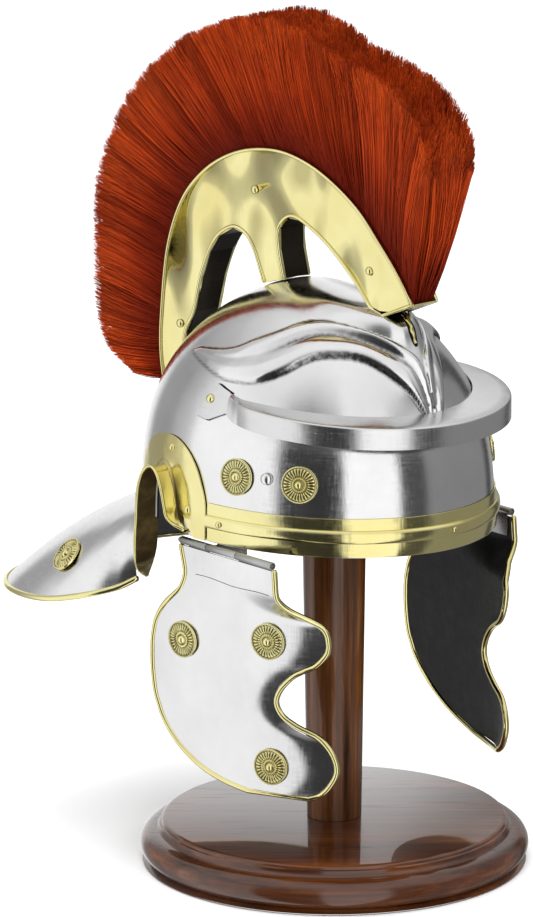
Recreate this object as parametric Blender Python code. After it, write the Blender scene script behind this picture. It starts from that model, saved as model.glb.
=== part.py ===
"""Roman legionary helmet with a horsehair crest, resting on a turned wooden stand.

The origin is the centre of the stand's foot. +Z is up, the helmet faces -Y, and the
wearer's right side is at -X. All sizes are in metres.
"""
import math

import bmesh
import bpy
import numpy as np
from mathutils import Matrix, Vector

# Stand
FOOT_RADIUS = 0.130
FOOT_THICKNESS = 0.030
POST_RADIUS = 0.0215
POST_FOOT_RADIUS = 0.0182

# Skull of the helmet
HELMET_Y = 0.017
RIM_Z = 0.236
BOWL_HALF_WIDTH = 0.105
BOWL_HALF_LENGTH = 0.131
BOWL_HEIGHT = 0.159
BOWL_SQUARENESS = 2.83
BOWL_TAPER = 1.56
BOWL_SHEET = 0.0015
BROW_RISE = 0.0026
BOWL_RIVET = 0.0042
KEEL_HALF_ANGLE = 13.0
SEAT_GAP = 0.0003

# Brow band along the front rim
BAND_HEIGHT = 0.026
BAND_SHEET = 0.0010
BAND_RIB_PROUD = 0.0026
BAND_HALF_ANGLE = 85.0
BAND_RIVET = 0.0022

# Brow guard, the flat peak across the forehead
GUARD_Z = RIM_Z + 0.55 * BOWL_HEIGHT
GUARD_RISE = 0.0060
GUARD_REACH = 0.0276
GUARD_LIP = 0.0130
GUARD_SHEET = 0.0014
GUARD_FALL = 0.0012
GUARD_RIVET = 0.0032

# Ear openings with their plates and flared flanges
EAR_Y = HELMET_Y + 0.033
EAR_HALF_WIDTH = 0.016
EAR_TOP = 0.044
EAR_FLANGE = 0.015
EAR_SHEET = 0.0011
EAR_RIVET = 0.0028

# Neck guard
NECK_HALF_WIDTH = 0.119
NECK_REACH = 0.244
NECK_DROP = 0.074
NECK_BULGE = 0.006
NECK_SHEET = 0.0014
NECK_LAP = 0.006
NECK_ROOT_ANGLE = 123.0
TRIM_WIDTH = 0.0036

# Crest box and plume
CREST_HALF_WIDTH = 0.0108
CREST_SHEET = 0.0011
CREST_Y = HELMET_Y + 0.029
CREST_FRONT = 0.136
CREST_REAR = 0.119
CREST_SINK = 0.097
CREST_BASE_Z = RIM_Z + BOWL_HEIGHT - CREST_SINK
CREST_HEIGHT = 0.180
PLUME_HALF_WIDTH = 0.023
PLUME_SEAT = 0.006
PLUME_NOTCH = 0.004
PLUME_LOCKS = 17

# Cheek guards and their hinges
HINGE_OUT = 0.0005
HINGE_DROP = 0.0037
HINGE_X = BOWL_HALF_WIDTH + HINGE_OUT
HINGE_Z = RIM_Z - HINGE_DROP
HINGE_REAR_Y = HELMET_Y + 0.0145
HINGE_FRONT_Y = HELMET_Y - 0.0765
HINGE_RADIUS = 0.0026
PIN_RADIUS = 0.0012
PIN_GAP = 0.0003
BARREL_GAP = 0.0004
BRACKET_REAR_Y = HELMET_Y - 0.012
BRACKET_FRONT_Y = HELMET_Y - 0.041
BRACKET_RISE = 0.012
LEAF_DROP = 0.0135
LEAF_INSET = 0.0060
LEAF_SHEET = 0.0010
CHEEK_TOP_GAP = 0.0033
CHEEK_TOP_Z = HINGE_Z - CHEEK_TOP_GAP
CHEEK_Y = HELMET_Y - 0.017
CHEEK_DROP = 0.156
CHEEK_REAR = 0.0515
CHEEK_FRONT = 0.0860
CHEEK_FLARE = 0.007
CHEEK_DISH = 0.0335
CHEEK_CREASE = 0.0150
CHEEK_BEND = 0.024
CHEEK_SHEET = 0.0012

# Ornaments
ROSETTE_RADIUS = 0.0122
ROSETTE_RISE = 0.0040
RIVET_RADIUS = 0.0030

# Keel over the forehead, rim to crown
KEEL_ROWS = [
    # height share, extra radius share
    (0.00, 0.000),
    (0.575, 0.000),
    (0.68, 0.055),
    (0.82, 0.160),
    (0.91, 0.290),
    (0.945, 0.300),
    (0.970, 0.240),
    (0.988, 0.120),
    (1.00, 0.000),
]

# Embossed brow: angle from the front, middle height and half width as shares of the bowl's height
BROW_ROWS = [
    (6.0, 0.705, 0.078),
    (12.0, 0.767, 0.072),
    (20.0, 0.811, 0.056),
    (32.0, 0.838, 0.048),
    (46.0, 0.836, 0.048),
    (60.0, 0.800, 0.062),
    (74.0, 0.755, 0.068),
    (88.0, 0.724, 0.046),
    (100.0, 0.722, 0.030),
    (112.0, 0.722, 0.018),
]

# Brow guard: angle from the front, reach, drop of the corner and lip, as shares
GUARD_ROWS = [
    # angle, root rise share, reach share, lip share
    (0.0, 0.00, 1.00, 1.00),
    (15.0, 0.06, 0.98, 1.00),
    (30.0, 0.22, 0.93, 1.00),
    (43.0, 0.42, 0.82, 1.00),
    (54.0, 0.62, 0.69, 1.00),
    (62.0, 0.76, 0.55, 1.00),
    (70.0, 0.90, 0.38, 1.00),
    (76.0, 1.00, 0.22, 0.98),
    (80.0, 1.25, 0.12, 0.96),
    (83.0, 1.75, 0.07, 0.98),
    (87.0, 2.35, 0.05, 1.10),
    (91.0, 2.20, 0.05, 1.00),
    (96.0, 1.10, 0.05, 0.55),
]

# Ear flange, front foot to rear foot: where its inner edge lies on the skull, as
# shares of the opening's half width and top height, then how far its outer edge
# stands out and moves back and up, as shares of its width
FLANGE_ROWS = [
    (-1.59, 0.08, 0.14, 0.00, 0.00),
    (-1.22, 0.17, 0.48, 0.10, 0.00),
    (-1.04, 0.29, 0.80, 0.05, 0.00),
    (-0.94, 0.43, 0.86, 0.04, 0.00),
    (-0.81, 0.59, 0.88, 0.04, 0.00),
    (-0.60, 0.76, 0.88, 0.05, 0.00),
    (-0.28, 0.91, 0.88, 0.06, 0.00),
    (0.10, 0.98, 0.92, 0.08, 0.00),
    (0.46, 0.94, 0.98, 0.08, -0.02),
    (0.75, 0.82, 1.02, 0.08, -0.04),
    (0.92, 0.64, 1.06, 0.10, -0.05),
    (1.00, 0.42, 1.08, 0.10, -0.05),
    (1.03, 0.14, 1.10, 0.10, -0.05),
    (1.08, -0.14, 1.12, 0.12, -0.10),
    (1.22, -0.41, 1.05, 0.12, -0.16),
    (1.60, -0.66, 0.76, 0.10, -0.18),
    (2.00, -0.84, 0.38, 0.05, -0.08),
    (2.20, -0.93, 0.14, 0.00, 0.00),
]

# Ear plate: outer edge and inner edge as shares of the opening's size
PLATE_ROWS = [
    (2.55, 0.65, 1.12, 0.60),
    (2.40, 0.96, 1.00, 0.79),
    (1.65, 1.25, 0.80, 0.93),
    (0.64, 1.39, 0.42, 1.03),
    (-0.34, 1.41, -0.04, 1.04),
    (-1.24, 1.30, -0.46, 0.95),
    (-1.93, 1.10, -0.76, 0.79),
    (-2.36, 0.86, -0.94, 0.61),
    (-2.66, 0.54, -1.08, 0.43),
    (-2.66, 0.28, -1.40, 0.29),
    (-2.66, 0.01, -2.02, 0.01),
]

# Neck guard: root angle share, then its outer edge as shares of half width, reach and drop
NECK_ROWS = [
    (0.00, 0.780, 0.305, 0.58),
    (0.07, 0.850, 0.350, 0.68),
    (0.15, 0.940, 0.430, 0.78),
    (0.27, 0.995, 0.545, 0.88),
    (0.39, 0.985, 0.665, 0.93),
    (0.52, 0.895, 0.795, 0.96),
    (0.66, 0.690, 0.905, 0.975),
    (0.83, 0.370, 0.975, 0.99),
    (1.00, 0.000, 1.000, 1.00),
]

# Crest outline, rear foot over the top to the front foot. Along the length a share
# of CREST_REAR or CREST_FRONT from CREST_Y, and a share of CREST_HEIGHT upward
CREST_OUTER = [
    (0.97, 0.00),
    (1.00, 0.13),
    (0.992, 0.28),
    (0.935, 0.535),
    (0.810, 0.728),
    (0.628, 0.856),
    (0.406, 0.943),
    (0.156, 0.992),
    (-0.092, 1.000),
    (-0.340, 0.955),
    (-0.590, 0.857),
    (-0.776, 0.732),
    (-0.903, 0.634),
    (-0.996, 0.540),
]
CREST_FRONT_FOOT = [
    (-0.882, 0.504),
    (-0.756, 0.464),
]
CREST_INNER = [
    (-0.680, 0.498),
    (-0.592, 0.565),
    (-0.465, 0.643),
    (-0.341, 0.704),
    (-0.181, 0.755),
    (-0.092, 0.755),
    (-0.030, 0.706),
    (-0.033, 0.628),
    (-0.070, 0.522),
    (0.020, 0.507),
    (0.104, 0.487),
    (0.132, 0.531),
    (0.191, 0.609),
    (0.262, 0.656),
    (0.364, 0.668),
    (0.482, 0.625),
    (0.560, 0.556),
    (0.633, 0.449),
    (0.693, 0.313),
    (0.764, 0.232),
    (0.795, 0.110),
    (0.820, 0.002),
]

# Plume tips in the middle plane, rear to front, as shares of the crest's sizes
PLUME_TIPS = [
    (1.14, 0.04),
    (1.40, 0.13),
    (1.48, 0.32),
    (1.49, 0.56),
    (1.46, 0.76),
    (1.34, 0.95),
    (1.17, 1.12),
    (0.93, 1.26),
    (0.66, 1.38),
    (0.33, 1.47),
    (0.04, 1.51),
    (-0.20, 1.50),
    (-0.46, 1.43),
    (-0.75, 1.39),
    (-0.97, 1.32),
    (-1.15, 1.19),
    (-1.16, 1.05),
]

# Cheek guard: drop share, rear edge share and front edge share
CHEEK_ROWS = [
    (0.000, 0.587, 0.690),
    (0.095, 0.511, 0.705),
    (0.141, 0.500, 0.722),
    (0.186, 0.530, 0.768),
    (0.224, 0.632, 0.862),
    (0.263, 0.757, 0.930),
    (0.300, 0.850, 0.945),
    (0.350, 0.935, 0.932),
    (0.404, 0.979, 0.855),
    (0.436, 0.994, 0.756),
    (0.470, 1.000, 0.666),
    (0.532, 0.998, 0.569),
    (0.598, 0.977, 0.531),
    (0.660, 0.938, 0.585),
    (0.703, 0.879, 0.705),
    (0.744, 0.817, 0.883),
    (0.801, 0.681, 0.973),
    (0.864, 0.457, 1.000),
    (0.923, 0.136, 0.953),
    (0.960, -0.200, 0.895),
    (0.985, -0.560, 0.815),
]


def clear_scene():
    """Remove whatever the scene holds."""
    for item in list(bpy.context.scene.objects):
        bpy.data.objects.remove(item, do_unlink=True)


def make_material(name, colour, roughness, metallic):
    """Principled material with one plain finish."""
    material = bpy.data.materials.new(name)
    material.use_nodes = True
    shader = material.node_tree.nodes["Principled BSDF"]
    shader.inputs["Base Color"].default_value = (*colour, 1.0)
    shader.inputs["Roughness"].default_value = roughness
    shader.inputs["Metallic"].default_value = metallic
    return material


def steel(name):
    return make_material(name + "_steel", (0.62, 0.62, 0.63), 0.22, 1.0)


def brass(name):
    return make_material(name + "_brass", (0.85, 0.72, 0.36), 0.25, 1.0)


def wood(name):
    return make_material(name + "_wood", (0.16, 0.045, 0.02), 0.25, 0.0)


def finish_object(name, mesh_builder, material, sharp=35.0):
    """Turn a bmesh into a shaded object with outward normals."""
    bmesh.ops.recalc_face_normals(mesh_builder, faces=mesh_builder.faces)
    mesh = bpy.data.meshes.new(name)
    mesh_builder.to_mesh(mesh)
    mesh_builder.free()
    mesh.shade_smooth()
    mesh.set_sharp_from_angle(angle=math.radians(sharp))
    mesh.materials.append(material)
    item = bpy.data.objects.new(name, mesh)
    bpy.context.scene.collection.objects.link(item)
    return item


def cut(item, cutter):
    """Take the cutter's volume out of the object."""
    cutter.hide_render = True
    cutter.display_type = "WIRE"
    change = item.modifiers.new("cut_" + cutter.name, "BOOLEAN")
    change.operation = "DIFFERENCE"
    change.solver = "EXACT"
    change.object = cutter


def sheet_solid(name, inner, outer, material, wrap=False, pole=None):
    """Closed solid between two grids of points with the same rows and columns.

    With wrap, the last column meets the first. A pole gives one inner and one outer
    point that close the last row.
    """
    rows = len(inner)
    columns = len(inner[0])
    builder = bmesh.new()
    grids = []
    for grid in (inner, outer):
        grids.append([[builder.verts.new(Vector(p)) for p in row] for row in grid])
    spans = columns if wrap else columns - 1
    for grid in grids:
        for r in range(rows - 1):
            for c in range(spans):
                d = (c + 1) % columns
                builder.faces.new((grid[r][c], grid[r][d], grid[r + 1][d], grid[r + 1][c]))
    low, high = grids
    for c in range(spans):
        d = (c + 1) % columns
        builder.faces.new((low[0][c], low[0][d], high[0][d], high[0][c]))
        if pole is None:
            builder.faces.new((low[-1][c], low[-1][d], high[-1][d], high[-1][c]))
    if pole is not None:
        for grid, point in zip(grids, pole):
            top = builder.verts.new(Vector(point))
            for c in range(spans):
                builder.faces.new((grid[-1][c], grid[-1][(c + 1) % columns], top))
    if not wrap:
        for c in (0, -1):
            for r in range(rows - 1):
                builder.faces.new((low[r][c], low[r + 1][c], high[r + 1][c], high[r][c]))
    return finish_object(name, builder, material)


def swept_section(name, sections, material):
    """Closed solid through a row of section outlines with the same number of points."""
    builder = bmesh.new()
    rings = [[builder.verts.new(Vector(p)) for p in ring] for ring in sections]
    count = len(rings[0])
    for first, second in zip(rings[:-1], rings[1:]):
        for i in range(count):
            j = (i + 1) % count
            builder.faces.new((first[i], first[j], second[j], second[i]))
    builder.faces.new(rings[0])
    builder.faces.new(rings[-1])
    return finish_object(name, builder, material)


def turned(name, profile, sides, material, frame=None):
    """Solid of revolution about its own Z. The profile runs from axis to axis."""
    builder = bmesh.new()
    rings = []
    for radius, height in profile:
        if radius < 1e-7:
            rings.append([builder.verts.new((0.0, 0.0, height))])
            continue
        ring = []
        for i in range(sides):
            turn = 2.0 * math.pi * i / sides
            ring.append(builder.verts.new((radius * math.cos(turn), radius * math.sin(turn), height)))
        rings.append(ring)
    for first, second in zip(rings[:-1], rings[1:]):
        for i in range(sides):
            j = (i + 1) % sides
            corners = [first[i % len(first)], first[j % len(first)]]
            corners += [second[j % len(second)], second[i % len(second)]]
            builder.faces.new(list(dict.fromkeys(corners)))
    item = finish_object(name, builder, material)
    if frame is not None:
        item.matrix_world = frame
    return item


def extruded(name, outline, low, high, material):
    """Solid whose outline in Y and Z is extruded along X from low to high."""
    builder = bmesh.new()
    front = [builder.verts.new((low, y, z)) for y, z in outline]
    back = [builder.verts.new((high, y, z)) for y, z in outline]
    count = len(outline)
    builder.faces.new(front)
    builder.faces.new(back)
    for i in range(count):
        j = (i + 1) % count
        builder.faces.new((front[i], front[j], back[j], back[i]))
    return finish_object(name, builder, material)


def smooth_rows(rows, steps):
    """Points of a smooth curve through the rows, with so many steps between them."""
    points = np.array(rows, dtype=float)
    padded = np.vstack([2 * points[0] - points[1], points, 2 * points[-1] - points[-2]])
    result = []
    for i in range(len(points) - 1):
        a, b, c, d = padded[i:i + 4]
        for s in range(steps):
            t = s / steps
            result.append(0.5 * ((2 * b) + (c - a) * t + (2 * a - 5 * b + 4 * c - d) * t * t
                                 + (3 * b - a - 3 * c + d) * t ** 3))
    result.append(points[-1])
    return np.array(result)


def keel_share(angle, share):
    """How far the forehead's keel stands out beyond the skull's own radius share."""
    heights = [row[0] for row in KEEL_ROWS]
    extras = [row[1] for row in KEEL_ROWS]
    extra = np.interp(share, heights, extras)
    half = KEEL_HALF_ANGLE * (1.0 + 1.5 * min(max((share - 0.68) / 0.28, 0.0), 1.0))
    return float(extra) * math.exp(-((angle / half) ** 2))


def brow_rise(angle, share):
    """Height of the embossed brow above the skull."""
    angles = [row[0] for row in BROW_ROWS]
    turn = abs(angle)
    if turn > angles[-1] + 6.0:
        return 0.0
    middle = np.interp(turn, angles, [row[1] for row in BROW_ROWS])
    half = np.interp(turn, angles, [row[2] for row in BROW_ROWS])
    return BROW_RISE * math.exp(-(((share - middle) / half) ** 4))


def skull_point(angle, height, offset=0.0, keel=True):
    """Point on the skull: angle in degrees from the front, height above the rim."""
    share = min(max(height / BOWL_HEIGHT, 0.0), 1.0)
    radius = (1.0 - share ** BOWL_SQUARENESS) ** (1.0 / BOWL_TAPER)
    if keel:
        radius += keel_share(angle, share)
    turn = math.radians(angle)
    point = Vector((
        BOWL_HALF_WIDTH * radius * math.sin(turn),
        HELMET_Y - BOWL_HALF_LENGTH * radius * math.cos(turn),
        RIM_Z + height,
    ))
    if offset:
        point += offset * skull_normal(angle, height)
    return point


def skull_normal(angle, height):
    """Outward direction of the plain skull at that place."""
    step = 0.002 * BOWL_HEIGHT
    low = min(max(height - step, 0.0), BOWL_HEIGHT - 2.5 * step)
    across = skull_point(angle + 0.5, low, keel=False) - skull_point(angle - 0.5, low, keel=False)
    upward = skull_point(angle, low + 2 * step, keel=False) - skull_point(angle, low, keel=False)
    return across.cross(upward).normalized()


def angle_at(y, height):
    """Angle from the front of the skull's side at a given Y, on the +X half."""
    share = min(max(height / BOWL_HEIGHT, 0.0), 1.0)
    radius = (1.0 - share ** BOWL_SQUARENESS) ** (1.0 / BOWL_TAPER)
    cosine = (HELMET_Y - y) / (BOWL_HALF_LENGTH * radius)
    return math.degrees(math.acos(min(max(cosine, -1.0), 1.0)))


def side_point(side, y, height, offset):
    """Point on one side of the skull, given by its Y and its height above the rim."""
    return skull_point(side * angle_at(y, height), height, offset)


def frame_at(point, direction):
    """Matrix that puts an ornament's Z along a direction at a point."""
    turn = direction.to_track_quat("Z", "Y")
    return Matrix.Translation(point) @ turn.to_matrix().to_4x4()


def build_stand():
    """Turned foot with a rounded edge, and the post that the skull rests on."""
    edge = FOOT_THICKNESS
    profile = [
        (0.0, 0.0),
        (FOOT_RADIUS - 0.07 * edge, 0.0),
        (FOOT_RADIUS, 0.25 * edge),
        (FOOT_RADIUS - 0.03 * edge, 0.55 * edge),
        (FOOT_RADIUS - 0.20 * edge, 0.75 * edge),
        (FOOT_RADIUS - 0.43 * edge, 0.80 * edge),
        (FOOT_RADIUS - 0.47 * edge, 0.90 * edge),
        (FOOT_RADIUS - 0.63 * edge, edge),
        (0.0, edge),
    ]
    turned("stand_base", profile, 40, wood("stand_base"))
    bottom = FOOT_THICKNESS + SEAT_GAP
    top = seat_height(0.0, 0.0) - BOWL_SHEET - 1.7 * SEAT_GAP
    shoulder = 0.36 * POST_RADIUS
    profile = [
        (0.0, bottom),
        (POST_FOOT_RADIUS, bottom),
        (0.5 * (POST_FOOT_RADIUS + POST_RADIUS), 0.5 * (bottom + RIM_Z)),
        (POST_RADIUS, RIM_Z),
        (POST_RADIUS, top - shoulder),
        (0.80 * POST_RADIUS, top - 0.60 * shoulder),
        (0.45 * POST_RADIUS, top - 0.28 * shoulder),
        (0.0, top),
    ]
    turned("stand_post", profile, 16, wood("stand_post"))


def skull_grid(offset):
    """Rows of points over the skull, rim to crown, closer where the brows are."""
    shares = [0.0, 0.15, 0.30, 0.44, 0.575, 0.64, 0.69, 0.735, 0.78, 0.82, 0.86, 0.90]
    shares += [0.945, 0.975, 0.992]
    front = [6.0 * step for step in range(16)]
    back = [90.0 + 7.5 * step for step in range(1, 13)]
    near = [-angle for angle in front[1:] + back[:-1]]
    grid = []
    for share in shares:
        row = []
        for angle in front + back + near[::-1]:
            rise = brow_rise(angle, share) if share > 0.6 else 0.0
            row.append(skull_point(angle, share * BOWL_HEIGHT, offset + rise))
        grid.append(row)
    return grid


def build_bowl():
    """Raised steel skull with embossed brows, cut out over both ears."""
    crown = Vector((0.0, HELMET_Y, RIM_Z + BOWL_HEIGHT))
    inner_crown = crown - Vector((0.0, 0.0, BOWL_SHEET))
    inner = skull_grid(-BOWL_SHEET)
    outer = skull_grid(0.0)
    bowl = sheet_solid("bowl", inner, outer, steel("bowl"), wrap=True, pole=(inner_crown, crown))
    opening = []
    for row in smooth_rows([row[:2] for row in FLANGE_ROWS[:13]], 1):
        opening.append((EAR_Y + EAR_HALF_WIDTH * row[0], RIM_Z + EAR_TOP * row[1]))
    opening[0] = (opening[0][0], RIM_Z - 0.2 * EAR_TOP)
    opening[-1] = (opening[-1][0], RIM_Z - 0.2 * EAR_TOP)
    reach = 1.3 * BOWL_HALF_WIDTH
    cutter = extruded("ear_cutter", opening, -reach, reach, steel("ear_cutter"))
    cut(bowl, cutter)


def build_brow_band():
    """Brass band with a raised middle rib, along the front rim."""
    low = SEAT_GAP
    face = SEAT_GAP + BAND_SHEET
    proud = face + BAND_RIB_PROUD
    outline = [
        (low, 0.0),
        (low, 1.0),
        (face, 1.0),
        (face, 0.71),
        (proud, 0.64),
        (proud, 0.44),
        (face, 0.36),
        (face, 0.0),
    ]
    steps = [6.0 * i for i in range(-14, 15)]
    angles = [-BAND_HALF_ANGLE] + steps + [BAND_HALF_ANGLE]
    sections = []
    for angle in angles:
        sections.append([skull_point(angle, share * BAND_HEIGHT, off) for off, share in outline])
    swept_section("brow_band", sections, brass("brow_band"))
    for label, angle in (("right", -79.5), ("middle", 0.0), ("left", 79.5)):
        rivet_on_skull("band_rivet_" + label, angle, 0.54 * BAND_HEIGHT, proud, BAND_RIVET, brass)


def rivet_on_skull(name, angle, height, offset, radius, metal):
    """Domed rivet head seated on the skull or on what lies on it."""
    direction = skull_normal(angle, height)
    point = skull_point(angle, height, offset + SEAT_GAP)
    return rivet(name, point, direction, radius, metal)


def rivet(name, point, direction, radius, metal):
    """Low dome with a flat back."""
    profile = [(0.0, 0.0), (radius, 0.0), (0.8 * radius, 0.45 * radius), (0.0, 0.75 * radius)]
    return turned(name, profile, 8, metal(name), frame_at(point, direction))


def rosette(name, point, direction):
    """Round stamped boss: raised rim, dished field and a domed middle."""
    r = ROSETTE_RADIUS
    h = ROSETTE_RISE
    profile = [
        (0.0, 0.0),
        (r, 0.0),
        (0.97 * r, 0.38 * h),
        (0.84 * r, 0.26 * h),
        (0.36 * r, 0.58 * h),
        (0.20 * r, 0.92 * h),
        (0.0, h),
    ]
    return turned(name, profile, 10, brass(name), frame_at(point, direction))


def build_brow_guard():
    """Flat peak across the forehead with a hanging lip, its ends turned flat on the skull."""
    rows = GUARD_ROWS
    half = [row for row in rows[::-1]]
    table = [(-a, rise, reach, lip) for a, rise, reach, lip in half] + list(rows[1:])
    inner = [[], [], []]
    outer = [[], [], []]
    for angle, rise, reach, lip in table:
        root_height = GUARD_Z - RIM_Z + rise * GUARD_RISE
        root = skull_point(angle, root_height, 2.0 * SEAT_GAP, keel=False)
        normal = skull_normal(angle, root_height)
        flat = Vector((normal.x, normal.y, 0.0)).normalized()
        tab = min(max((rise - 1.0) / 0.75, 0.0), 1.0)
        corner_drop = GUARD_FALL + tab * 0.5 * GUARD_LIP * lip
        corner_on_skull = skull_point(angle, root_height - corner_drop, 2.2 * SEAT_GAP, keel=False)
        corner_out = root + reach * GUARD_REACH * flat - Vector((0.0, 0.0, corner_drop))
        corner = corner_out.lerp(corner_on_skull, tab)
        foot_on_skull = skull_point(angle, root_height - (1.0 + 0.7 * tab) * GUARD_LIP * lip,
                                    2.2 * SEAT_GAP, keel=False)
        foot_out = corner_out - Vector((0.0, 0.0, GUARD_LIP * lip))
        foot_out += max(0.0, (foot_on_skull - foot_out).dot(flat)) * flat
        foot = foot_out.lerp(foot_on_skull, tab)
        up = Vector((0.0, 0.0, 1.0)).lerp(normal, tab).normalized()
        face = flat.lerp(normal, tab).normalized()
        middle = (up + face).normalized() * (1.4 - 0.4 * tab)
        for rowset, point, way in zip(range(3), (root, corner, foot), (up, middle, face)):
            inner[rowset].append(point)
            outer[rowset].append(point + GUARD_SHEET * way)
    sheet_solid("brow_guard", inner, outer, steel("brow_guard"))
    for label, side in (("right", -1), ("left", 1)):
        rivet_on_skull("guard_rivet_" + label, side * 90.0, GUARD_Z - RIM_Z + 0.6 * GUARD_RISE,
                       2.2 * SEAT_GAP + GUARD_SHEET, GUARD_RIVET, brass)


def flange_points(side, row):
    """Inner and outer edge points of the ear flange for one row of its table."""
    along, up, out, back, lift = (float(value) for value in row)
    y = EAR_Y + EAR_HALF_WIDTH * along
    height = EAR_TOP * up
    angle = angle_at(y, max(height, 0.0))
    seat = skull_point(side * angle, max(height, 0.0), SEAT_GAP, keel=False)
    seat.z = RIM_Z + height
    normal = skull_normal(side * angle, max(height, 0.0))
    flat = Vector((normal.x, 0.0, 0.0)).normalized()
    end = seat + out * EAR_FLANGE * flat
    end += Vector((0.0, back * EAR_FLANGE, lift * EAR_FLANGE))
    return seat, end


def build_ear(side, label):
    """Flared flange over the ear and the arched plate that carries it."""
    rows = smooth_rows(FLANGE_ROWS, 1)
    pairs = [flange_points(side, row) for row in rows]
    inner = [[], []]
    outer = [[], []]
    middle = Vector((side * BOWL_HALF_WIDTH, EAR_Y, RIM_Z))
    for i, (seat, end) in enumerate(pairs):
        before = pairs[max(i - 1, 0)][0]
        after = pairs[min(i + 1, len(pairs) - 1)][0]
        way = (after - before).cross(end - seat).normalized()
        if way.dot(seat - middle) < 0.0:
            way = -way
        way = Vector((0.0, way.y, way.z)).normalized()
        for k, point in enumerate((seat, end)):
            inner[k].append(point)
            outer[k].append(point + EAR_SHEET * way)
    sheet_solid("ear_flange_" + label, inner, outer, brass("ear_flange_" + label))
    build_ear_plate(side, label)


def build_ear_plate(side, label):
    """Arched brass plate on the skull around the flange."""
    inner = [[], [], []]
    outer = [[], [], []]
    for out_y, out_z, in_y, in_z in smooth_rows(PLATE_ROWS, 1):
        for k, t in enumerate((0.0, 0.5, 1.0)):
            y = EAR_Y + EAR_HALF_WIDTH * (out_y * (1.0 - t) + in_y * t)
            height = EAR_TOP * (out_z * (1.0 - t) + in_z * t)
            inner[k].append(side_point(side, y, height, 2.0 * SEAT_GAP))
            outer[k].append(side_point(side, y, height, 2.0 * SEAT_GAP + EAR_SHEET))
    sheet_solid("ear_plate_" + label, inner, outer, brass("ear_plate_" + label))
    offset = 2.0 * SEAT_GAP + EAR_SHEET
    for number, (along, up) in enumerate(((-0.25, 1.245), (-1.62, 0.41))):
        height = EAR_TOP * up
        angle = side * angle_at(EAR_Y + EAR_HALF_WIDTH * along, height)
        rivet_on_skull("ear_rivet_%s_%d" % (label, number + 1), angle, height, offset, EAR_RIVET, brass)


def neck_edges():
    """Root and outer edge points of the neck guard, right side round to the left."""
    half = smooth_rows(NECK_ROWS, 2)
    edges = []
    for share, width, reach, drop in half:
        angle = NECK_ROOT_ANGLE + share * (180.0 - NECK_ROOT_ANGLE)
        edges.append((-angle, -width * NECK_HALF_WIDTH, reach * NECK_REACH, drop * NECK_DROP))
    mirrored = [(-a, -x, y, d) for a, x, y, d in edges[-2::-1]]
    return edges + mirrored


def build_neck_guard():
    """Broad flange that slopes down and back behind the skull, with a brass edge."""
    shares = [0.0, 0.3, 0.65, 1.0]
    inner = [[] for _ in range(len(shares) + 1)]
    outer = [[] for _ in range(len(shares) + 1)]
    rims = []
    for angle, x, reach, drop in neck_edges():
        top = skull_point(angle, NECK_LAP, SEAT_GAP, keel=False)
        root = skull_point(angle, 0.0, SEAT_GAP, keel=False)
        normal = skull_normal(angle, 0.0)
        flat = Vector((normal.x, normal.y, 0.0)).normalized()
        edge = Vector((x, HELMET_Y + reach, RIM_Z - drop))
        slope = (edge - root).normalized()
        side = Vector((-flat.y, flat.x, 0.0))
        normal = side.cross(slope)
        if normal.dot(flat + Vector((0.0, 0.0, 1.0))) < 0.0:
            normal = -normal
        normal.normalize()
        inner[0].append(top)
        outer[0].append(top + NECK_SHEET * flat)
        for k, t in enumerate(shares):
            bulge = NECK_BULGE * math.sin(math.pi * t) * min(1.0, 3.0 * (edge - root).length / NECK_REACH)
            point = root.lerp(edge, t) + bulge * normal
            way = flat.lerp(normal, min(1.0, 4.0 * t)).normalized()
            inner[k + 1].append(point)
            outer[k + 1].append(point + NECK_SHEET * way)
        rims.append((edge + 0.5 * NECK_SHEET * normal, slope, normal))
    sheet_solid("neck_guard", inner, outer, steel("neck_guard"))
    sections = []
    for point, slope, normal in rims:
        out = slope - slope.dot(normal) * normal
        out.normalize()
        base = point + SEAT_GAP * out
        half = 0.5 * TRIM_WIDTH
        sections.append([
            base + half * normal,
            base + TRIM_WIDTH * out + 0.55 * half * normal,
            base + TRIM_WIDTH * out - 0.55 * half * normal,
            base - half * normal,
        ])
    swept_section("neck_guard_trim", sections, brass("neck_guard_trim"))
    for label, side in (("right", -1), ("left", 1)):
        neck_rosette(side, label, inner, outer)


def neck_rosette(side, label, inner, outer):
    """Rosette on the neck guard's side slope."""
    columns = len(inner[0])
    column = 7 if side < 0 else columns - 1 - 7
    low = outer[3][column]
    across = outer[3][column + 1] - outer[3][column - 1]
    slope = outer[4][column] - outer[2][column]
    normal = across.cross(slope).normalized()
    if normal.z < 0.0:
        normal = -normal
    rosette("neck_rosette_" + label, low + 2.0 * SEAT_GAP * normal, normal)


def seat_height(x, y):
    """Height of the skull's outside above a place in plan."""
    wide = x / BOWL_HALF_WIDTH
    long = (HELMET_Y - y) / BOWL_HALF_LENGTH
    radius = math.hypot(wide, long)
    angle = math.degrees(math.atan2(wide, long))
    low = 0.0
    high = 1.0
    for _ in range(30):
        share = 0.5 * (low + high)
        reach = (1.0 - share ** BOWL_SQUARENESS) ** (1.0 / BOWL_TAPER) + keel_share(angle, share)
        if reach > radius:
            low = share
        else:
            high = share
    return RIM_Z + low * BOWL_HEIGHT


def seated(points, x):
    """The same outline, lifted wherever it would dip into the skull."""
    lifted = []
    for y, z in points:
        radius = math.hypot(x / BOWL_HALF_WIDTH, (HELMET_Y - y) / BOWL_HALF_LENGTH)
        lifted.append((y, max(z, seat_height(x, y) + 2.0 * SEAT_GAP) if radius < 0.9 else z))
    return lifted


def crest_outline(rows):
    """Y and Z of the crest's outline rows."""
    points = []
    for along, up in rows:
        length = CREST_FRONT if along < 0.0 else CREST_REAR
        points.append((CREST_Y + along * length, CREST_BASE_Z + up * CREST_HEIGHT))
    return points


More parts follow.
